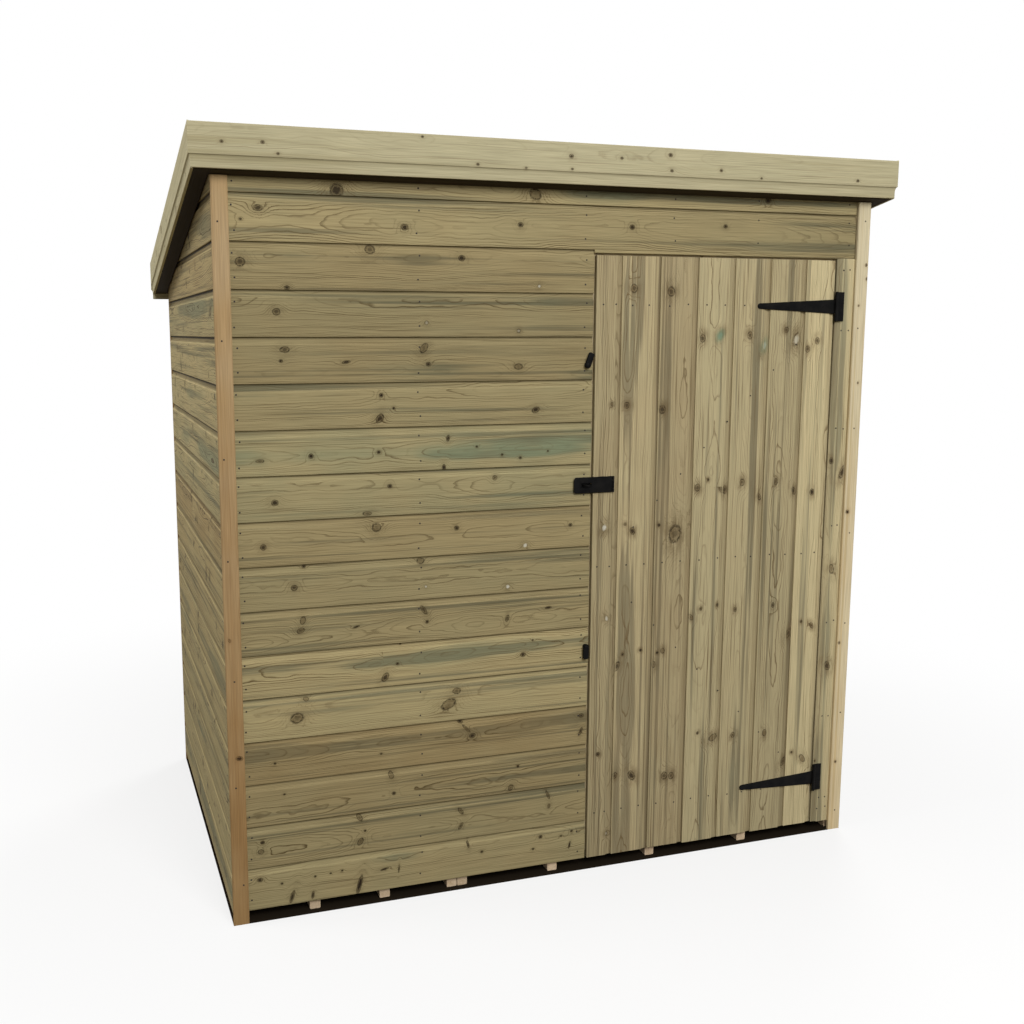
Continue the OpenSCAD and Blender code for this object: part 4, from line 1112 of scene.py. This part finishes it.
# %% Hasp flap
flap_low, flap_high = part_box("hasp_flap")
leaf_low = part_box("hasp_leaf")[0]
hasp_x, hasp_y, hasp_z = pivot["hasp_hinge"]
half_w, knuckle, flap_t, barrel, gap = (flap_high.z - flap_low.z) / 2, 0.01075, 0.002, 0.0032, 0.0005
corner, flap_front, flap_back = 0.007, -0.6175, -0.6155
flap = bmesh.new()
ends = [(flap_low.x + corner - corner * math.sin(a), hasp_z + half_w - corner + corner * math.cos(a))
        for a in (math.pi / 2 * k / 6 for k in range(7))]
ends += [(x, 2 * hasp_z - z) for x, z in reversed(ends)]
step = hasp_x - barrel - gap
half_barrel = half_w - knuckle
outline = [(hasp_x, hasp_z + half_barrel), (step, hasp_z + half_barrel), (step, hasp_z + half_w), *ends,
           (step, hasp_z - half_w), (step, hasp_z - half_barrel), (hasp_x, hasp_z - half_barrel)]
slot_left, slot_right, slot_half = 0.0355, 0.0665, 0.0055
plate(flap, outline, flap_front, flap_back, oblong(slot_left, slot_right, hasp_z, slot_half), ease=0.0005)
rod(flap, hasp_x, hasp_y, hasp_z - half_barrel, hasp_z + half_barrel, barrel)
hand_over(flap, "hasp_swing_flap", iron, "ironwork", "hasp_flap")

# %% [markdown]
# The leaf carries the two outer knuckles and the pin. Its screws sit low, because the flap folds over them.

# %% Hasp leaf
leaf = bmesh.new()
notch = half_barrel + gap
outline = [(leaf_low.x, hasp_z - half_w), (hasp_x, hasp_z - half_w), (hasp_x, hasp_z - notch),
           (step, hasp_z - notch), (step, hasp_z + notch), (hasp_x, hasp_z + notch),
           (hasp_x, hasp_z + half_w), (leaf_low.x, hasp_z + half_w)]
plate(leaf, outline, door_low.y - flap_t, door_low.y, ease=0.0004)
for bottom, top in ((hasp_z - half_w, hasp_z - notch), (hasp_z + notch, hasp_z + half_w)):
    rod(leaf, hasp_x, hasp_y, bottom, top, barrel)
rod(leaf, hasp_x, hasp_y, hasp_z - half_w - 0.0006, hasp_z + half_w + 0.0006, 0.0016, 0.0003)
for dx, dz in ((0.010, 0.012), (0.010, -0.012), (0.026, 0.0)):
    screw(leaf, leaf_low.x + dx, door_low.y - flap_t + 0.0001, hasp_z + dz, 0.0034, 0.0003)
hand_over(leaf, "hasp_door_leaf", iron, "ironwork", "hasp_leaf")

# %% [markdown]
# The staple is a round wire bent to a loop on a small plate. The wire is a ring of points carried along the
# loop's line, each ring square to the line where it stands.

# %% Staple
staple_x, wire_r, loop_r, leg, around = 0.052, 0.0025, 0.008, 0.013, 14
seat_left, seat_right, seat_half = 0.037, 0.067, 0.0145
staple = bmesh.new()
seat = oblong(seat_left, seat_right, hasp_z, seat_half)
plate(staple, seat, wall_front - flap_t, wall_front, ease=0.0004)
path = [(staple_x - loop_r, wall_front), (staple_x - loop_r, wall_front - leg)]
path += [(staple_x - loop_r * math.cos(a), wall_front - leg - loop_r * math.sin(a))
         for a in (math.pi * k / around for k in range(1, around))]
path += [(staple_x + loop_r, wall_front - leg), (staple_x + loop_r, wall_front)]
rings = []
for i, (px, py) in enumerate(path):
    before, after = Vector(path[max(i - 1, 0)]), Vector(path[min(i + 1, len(path) - 1)])
    run = (after - before).normalized()
    rings.append([staple.verts.new((px + wire_r * math.cos(b) * -run.y, py + wire_r * math.cos(b) * run.x,
                                    hasp_z + wire_r * math.sin(b)))
                  for b in (2 * math.pi * k / around for k in range(around))])
for low_ring, high_ring in zip(rings, rings[1:]):
    for k in range(around):
        after = (k + 1) % around
        staple.faces.new((low_ring[k], low_ring[after], high_ring[after], high_ring[k]))
staple.faces.new(rings[0])
staple.faces.new(list(reversed(rings[-1])))
for dz in (-0.0105, 0.0105):
    screw(staple, staple_x, wall_front - flap_t + 0.0001, hasp_z + dz, 0.0026, 0.0003)
hand_over(staple, "staple_loop", iron, "ironwork", "staple")

# %% [markdown]
# A turn button is a small bar on one screw, turned across the door's edge to hold it shut. The upper one
# leans aside and the lower one hangs straight down, both clear of the door. Each has its own joint, so the
# screws are a piece of the shed.

# %% Turn buttons
button_back, button_front, arm, half_button, snip, screw_r = -0.6165, -0.6215, 0.034, 0.008, 0.003, 0.003
pivots = bmesh.new()
for level, joint, lean in (("upper", "high_button_turn", 20), ("lower", "low_button_turn", 180)):
    px, _, pz = pivot[joint]
    turn = math.radians(lean)
    points = [(half_button * math.cos(a), half_button * math.sin(a))
              for a in (math.pi * (1 + k / 12) for k in range(13))]
    points += [(half_button, arm - snip), (half_button - snip, arm), (snip - half_button, arm),
               (-half_button, arm - snip)]
    outline = [(px + u * math.cos(turn) + v * math.sin(turn), pz - u * math.sin(turn) + v * math.cos(turn))
               for u, v in points]
    button = bmesh.new()
    plate(button, outline, button_front, button_back, ease=0.0012)
    turned(button, [(0.007, 0.0005), (0.007, 0.0065)], facing(px, wall_front, pz), 24)
    hand_over(button, level + "_turn_button", iron, "ironwork", level + "_button")
    turned(pivots, [(screw_r, 0.0), (screw_r, 0.0125)], facing(px, wall_front, pz), 16)
    turned(pivots, [(0.006, 0.0), (0.0057, 0.0012), (0.0042, 0.0022)],
           facing(px, button_front - 0.0005, pz), 24)
    screw(pivots, px, button_front - 0.0022, pz, 0.0044, 0.0008)
hand_over(pivots, "button_pivot_screws", iron, "ironwork", "button_screws")

# %% [markdown]
# Nails hold everything. Each board has two at every stud, and a dark head is often the only sign of the
# framing behind it. They are small turned discs, gathered in one mesh for each body. No hammer hits twice
# in the same place, so each nail is shifted a little by chance.

# %% Nail helpers
nail_r = 0.0023
nail_rises, nail_stop = (0.026, 0.086), 0.075
leftward = placed((0, 0, 0), Y, Z, -X)
rightward = Matrix.Rotation(math.pi, 4, "Z") @ leftward


def nail(mesh, place):
    turned(mesh, [(nail_r, -0.0004), (nail_r, 0.0002), (0.6 * nail_r, 0.0005)], place, 10)


def jitter(size=0.004):
    return chance.uniform(-size, size)


def backing(x, y, z):
    """Place whose height axis points out of the back wall."""
    return Matrix.Translation((x, y, z)) @ placed((0, 0, 0), -X, Z, Y)


def nail_wall(spots, fall, fix, more=()):
    """Two nails a board at each spot along a wall, up to the roof, and more spots over the door."""
    for course in range(courses):
        for spot in spots + (more if course >= door_courses else ()):
            for rise in nail_rises:
                z = first_course + course * cover + rise
                if z < roof_front_z - fall(spot) - nail_stop:
                    nail(wall_nails, fix(spot + jitter(), z + jitter()))


print("nail radius", nail_r)

# %% [markdown]
# The walls' nails follow the studs behind the boards: five at the back, three beside the door and at each
# side, and more on the two boards that run over the door. The strip and the trims have rows of their own.

# %% Wall nails
corner_x, corner_y = 0.865, 0.585
wall_nails = bmesh.new()
nail_wall((-corner_x, -0.43, 0.0, 0.43, corner_x), lambda x: 2 * roof_slope * -wall_front,
          lambda x, z: backing(x, -wall_front, z))
nail_wall((-corner_x, -0.412, 0.045), lambda x: 0.0, lambda x, z: facing(x, wall_front, z),
          (0.30, 0.56, 0.853))
for z in (0.07, 0.10, 0.36, 0.65, 0.94, 1.22, 1.50, 1.67):
    for inset in (0.036, 0.012):
        nail(wall_nails, facing(strip_high.x - inset + jitter(), strip_low.y, z + jitter()))
trim_nails, trim_end = 7, 0.08
for corner_node in ("front_trim_left", "front_trim_right", "back_trim_left", "back_trim_right"):
    low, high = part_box(corner_node)
    for k in range(trim_nails):
        x = (low.x + high.x) / 2 + jitter(0.01)
        z = trim_end + k * (high.z - 2 * trim_end) / (trim_nails - 1) + jitter(0.03)
        nail(wall_nails, facing(x, low.y, z) if low.y < 0 else backing(x, high.y, z))
for wall_x, turn in ((wall_left, leftward), (-wall_left, rightward)):
    nail_wall((-corner_y, 0.0, corner_y), lambda y: roof_slope * (y - wall_front),
              lambda y, z: Matrix.Translation((wall_x, y, z)) @ turn)
hand_over(wall_nails, "wall_nails", nail_steel, "ironwork", body="shed")

# %% [markdown]
# Floor boards have two nails at every bearer that runs the depth of the panel.

# %% Floor nails
bearer_run, panel_edge = 1.0, 0.01
floor_nails = bmesh.new()
for half in ("left", "right"):
    low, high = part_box("floor_" + half)
    count = round((high.y - low.y) / board_w)
    for bearer_low, bearer_high in solids("bearers_" + half):
        x = (bearer_low.x + bearer_high.x) / 2
        if low.x + panel_edge < x < high.x - panel_edge and bearer_high.y - bearer_low.y > bearer_run:
            for i in range(count):
                for share in (0.25, 0.75):
                    y = low.y + (i + share) * (high.y - low.y) / count
                    nail(floor_nails, Matrix.Translation((x + jitter(), y + jitter(), high.z)))
hand_over(floor_nails, "floor_nails", nail_steel, "ironwork", body="shed")

# %% [markdown]
# On the door each board is nailed twice to each ledge, and slanting rows show where the braces run.

# %% Door nails
brace_nails = 8
door_nails = bmesh.new()
x = door_low.x
for width in door_widths:
    for low, high in ledge_boxes:
        for share in (0.24, 0.72):
            nail(door_nails, facing(x + share * width + jitter(), door_low.y,
                                    (low.z + high.z) / 2 + jitter(0.003)))
    x += width
for lower, upper, rising in brace_bays:
    for k in range(1, brace_nails + 1):
        share = k / (brace_nails + 1)
        sideways = share if rising > 0 else 1 - share
        x = ledge_low.x + 0.035 + sideways * (ledge_high.x - ledge_low.x - brace_w)
        nail(door_nails, facing(x, door_low.y, lower[1].z + share * (upper[0].z - lower[1].z)))
hand_over(door_nails, "door_nails", nail_steel, "ironwork", body="door")

# %% [markdown]
# Felt is held with clouts, short galvanised nails with broad heads. They go in every hand's width along the
# edges of the roof and along the lap, where the upper sheet would lift first.

# %% Felt clouts
zinc, tree, shader = new_material("galvanised clouts")
dull = mottle(tree, put(tree, "TexCoord").outputs["Object"], (250, 250, 250), 2.0)
feed(tree, shader.inputs["Base Color"], tint(tree, dull, (0.26, 0.27, 0.28, 1), (0.48, 0.49, 0.50, 1)))
feed(tree, shader.inputs["Roughness"], spread(tree, dull, 0.3, 0.7, 0.42, 0.62))
shader.inputs["Metallic"].default_value = 0.7
clout_r, clout_gap, clout_in, lap_inset = 0.0045, 0.095, 0.022, 0.015
clouts = bmesh.new()


def clout(x, start, lift):
    place = sloped(x, start, lift, True)
    turned(clouts, [(clout_r, -0.0003), (clout_r, 0.0003), (0.5 * clout_r, 0.0008)], place, 12)


felt_top = deck_t + sheet_t
felt_width = felt_high.x - felt_low.x - 2 * clout_in
across_count, down_count = round(felt_width / clout_gap), round((slope_run - 2 * clout_in) / clout_gap)
lap_edge = slope_start + slope_run / 2 + lap / 2 - lap_inset
for i in range(across_count + 1):
    x = felt_low.x + clout_in + felt_width * i / across_count
    for start, lift in ((slope_start + clout_in, lap_lift), (lap_edge, lap_lift),
                        (slope_start + slope_run - clout_in, 0.0)):
        clout(x + jitter(), start + jitter(), felt_top + lift)
for i in range(1, down_count):
    start = slope_start + clout_in + (slope_run - 2 * clout_in) * i / down_count
    for x in (felt_low.x + clout_in, felt_high.x - clout_in):
        clout(x + jitter(), start + jitter(), felt_top + (lap_lift if start < lap_edge else 0.0))
hand_over(clouts, "felt_clouts", zinc, "ironwork", body="shed")

# %% [markdown]
# Soft daylight comes from a white sky. The background is brighter to the camera and in reflections than it
# is as a light, so it stays white while the sky's own light is low. Light Path tells which ray is asking.

# %% White sky
scene = bpy.context.scene
scene.view_settings.view_transform = "Standard"


def seen_directly(tree):
    ways = put(tree, "LightPath").outputs
    both = calc(tree, "MAXIMUM", ways["Is Camera Ray"], ways["Is Glossy Ray"])
    return calc(tree, "MAXIMUM", both, ways["Is Transmission Ray"])


sky = bpy.data.worlds.new("white sky")
sky.use_nodes = True
scene.world = sky
tree = sky.node_tree
tree.nodes.clear()
mix = put(tree, "MixShader")
feed(tree, mix.inputs[0], seen_directly(tree))
feed(tree, mix.inputs[1], put(tree, "Background", None, Color=(1, 0.985, 0.95, 1), Strength=0.4).outputs[0])
feed(tree, mix.inputs[2], put(tree, "Background", None, Color=(1, 1, 1, 1), Strength=1.0).outputs[0])
feed(tree, put(tree, "OutputWorld").inputs["Surface"], mix.outputs[0])
print("sky:", sky.name)

# %% [markdown]
# Three wide lamps stand for the bright parts of an overcast sky. The one high in front shades the wall under
# the roof's edge, the one at the left lights the side wall, and the one behind is for views of the back.

# %% Lamps
lamp_size, lamp_aim = 3.6, Vector((0, 0, 1))
for name, energy, place in (("front_lamp", 340, (0.2, -6.0, 4.6)), ("left_lamp", 215, (-5.2, 0.2, 6.6)),
                            ("back_lamp", 300, (4.6, 5.4, 5.4))):
    lamp = bpy.data.objects.new(name, bpy.data.lights.new(name, "AREA"))
    scene.collection.objects.link(lamp)
    lamp.data.shape = "DISK"
    lamp.data.size = lamp_size
    lamp.data.energy = energy
    lamp.location = place
    lamp.rotation_euler = (lamp_aim - lamp.location).to_track_quat("-Z", "Y").to_euler()
    print(name, energy, "W")

# %% [markdown]
# The ground is white to the camera except for the shed's shadow: near the shed it mixes a quarter of a shaded
# floor into plain white. To all other rays it is dark earth, so that it throws no bright light up under the
# roof. Under the floor it is near black to every ray, as painted shade of the shed.

# %% Ground
ground_half, foot_half_w, foot_half_d = 9, 0.915, 0.622
corners = [(-ground_half, -ground_half, 0), (ground_half, -ground_half, 0), (ground_half, ground_half, 0),
           (-ground_half, ground_half, 0)]
floor_mesh = bpy.data.meshes.new("ground")
floor_mesh.from_pydata(corners, [], [(0, 1, 2, 3)])
ground = bpy.data.objects.new("ground", floor_mesh)
scene.collection.objects.link(ground)
pale, tree, shader = new_material("pale ground")
spot = put(tree, "NewGeometry").outputs["Position"]
where = put(tree, "SeparateXYZ", None, Vector=spot).outputs
under = calc(tree, "MULTIPLY", calc(tree, "LESS_THAN", calc(tree, "ABSOLUTE", where["X"]), foot_half_w),
             calc(tree, "LESS_THAN", calc(tree, "ABSOLUTE", where["Y"]), foot_half_d))
open_ground = calc(tree, "MULTIPLY", seen_directly(tree), calc(tree, "SUBTRACT", 1.0, under))
# Painted shade: the ground inside the shed's footprint is near black.
earth_and_painted_shade = tint(tree, under, (0.10, 0.075, 0.035, 1), (0.02, 0.015, 0.01, 1))
feed(tree, shader.inputs["Base Color"], tint(tree, open_ground, earth_and_painted_shade, (0.80, 0.80, 0.80, 1)))
shader.inputs["Roughness"].default_value = 0.9
shader.inputs["Specular IOR Level"].default_value = 0.0
distance = put(tree, "VectorMath", {"operation": "LENGTH"}, Vector=spot).outputs["Value"]
far = spread(tree, distance, 1.2, 3.0, 0.75, 1.0)
mix = put(tree, "MixShader")
feed(tree, mix.inputs[0], calc(tree, "MULTIPLY", open_ground, far))
feed(tree, mix.inputs[1], shader.outputs[0])
feed(tree, mix.inputs[2], put(tree, "Emission", None, Color=(1, 1, 1, 1), Strength=1.0).outputs[0])
feed(tree, tree.nodes["Material Output"].inputs["Surface"], mix.outputs[0])
floor_mesh.materials.append(pale)
print("ground:", 2 * ground_half, "m wide")
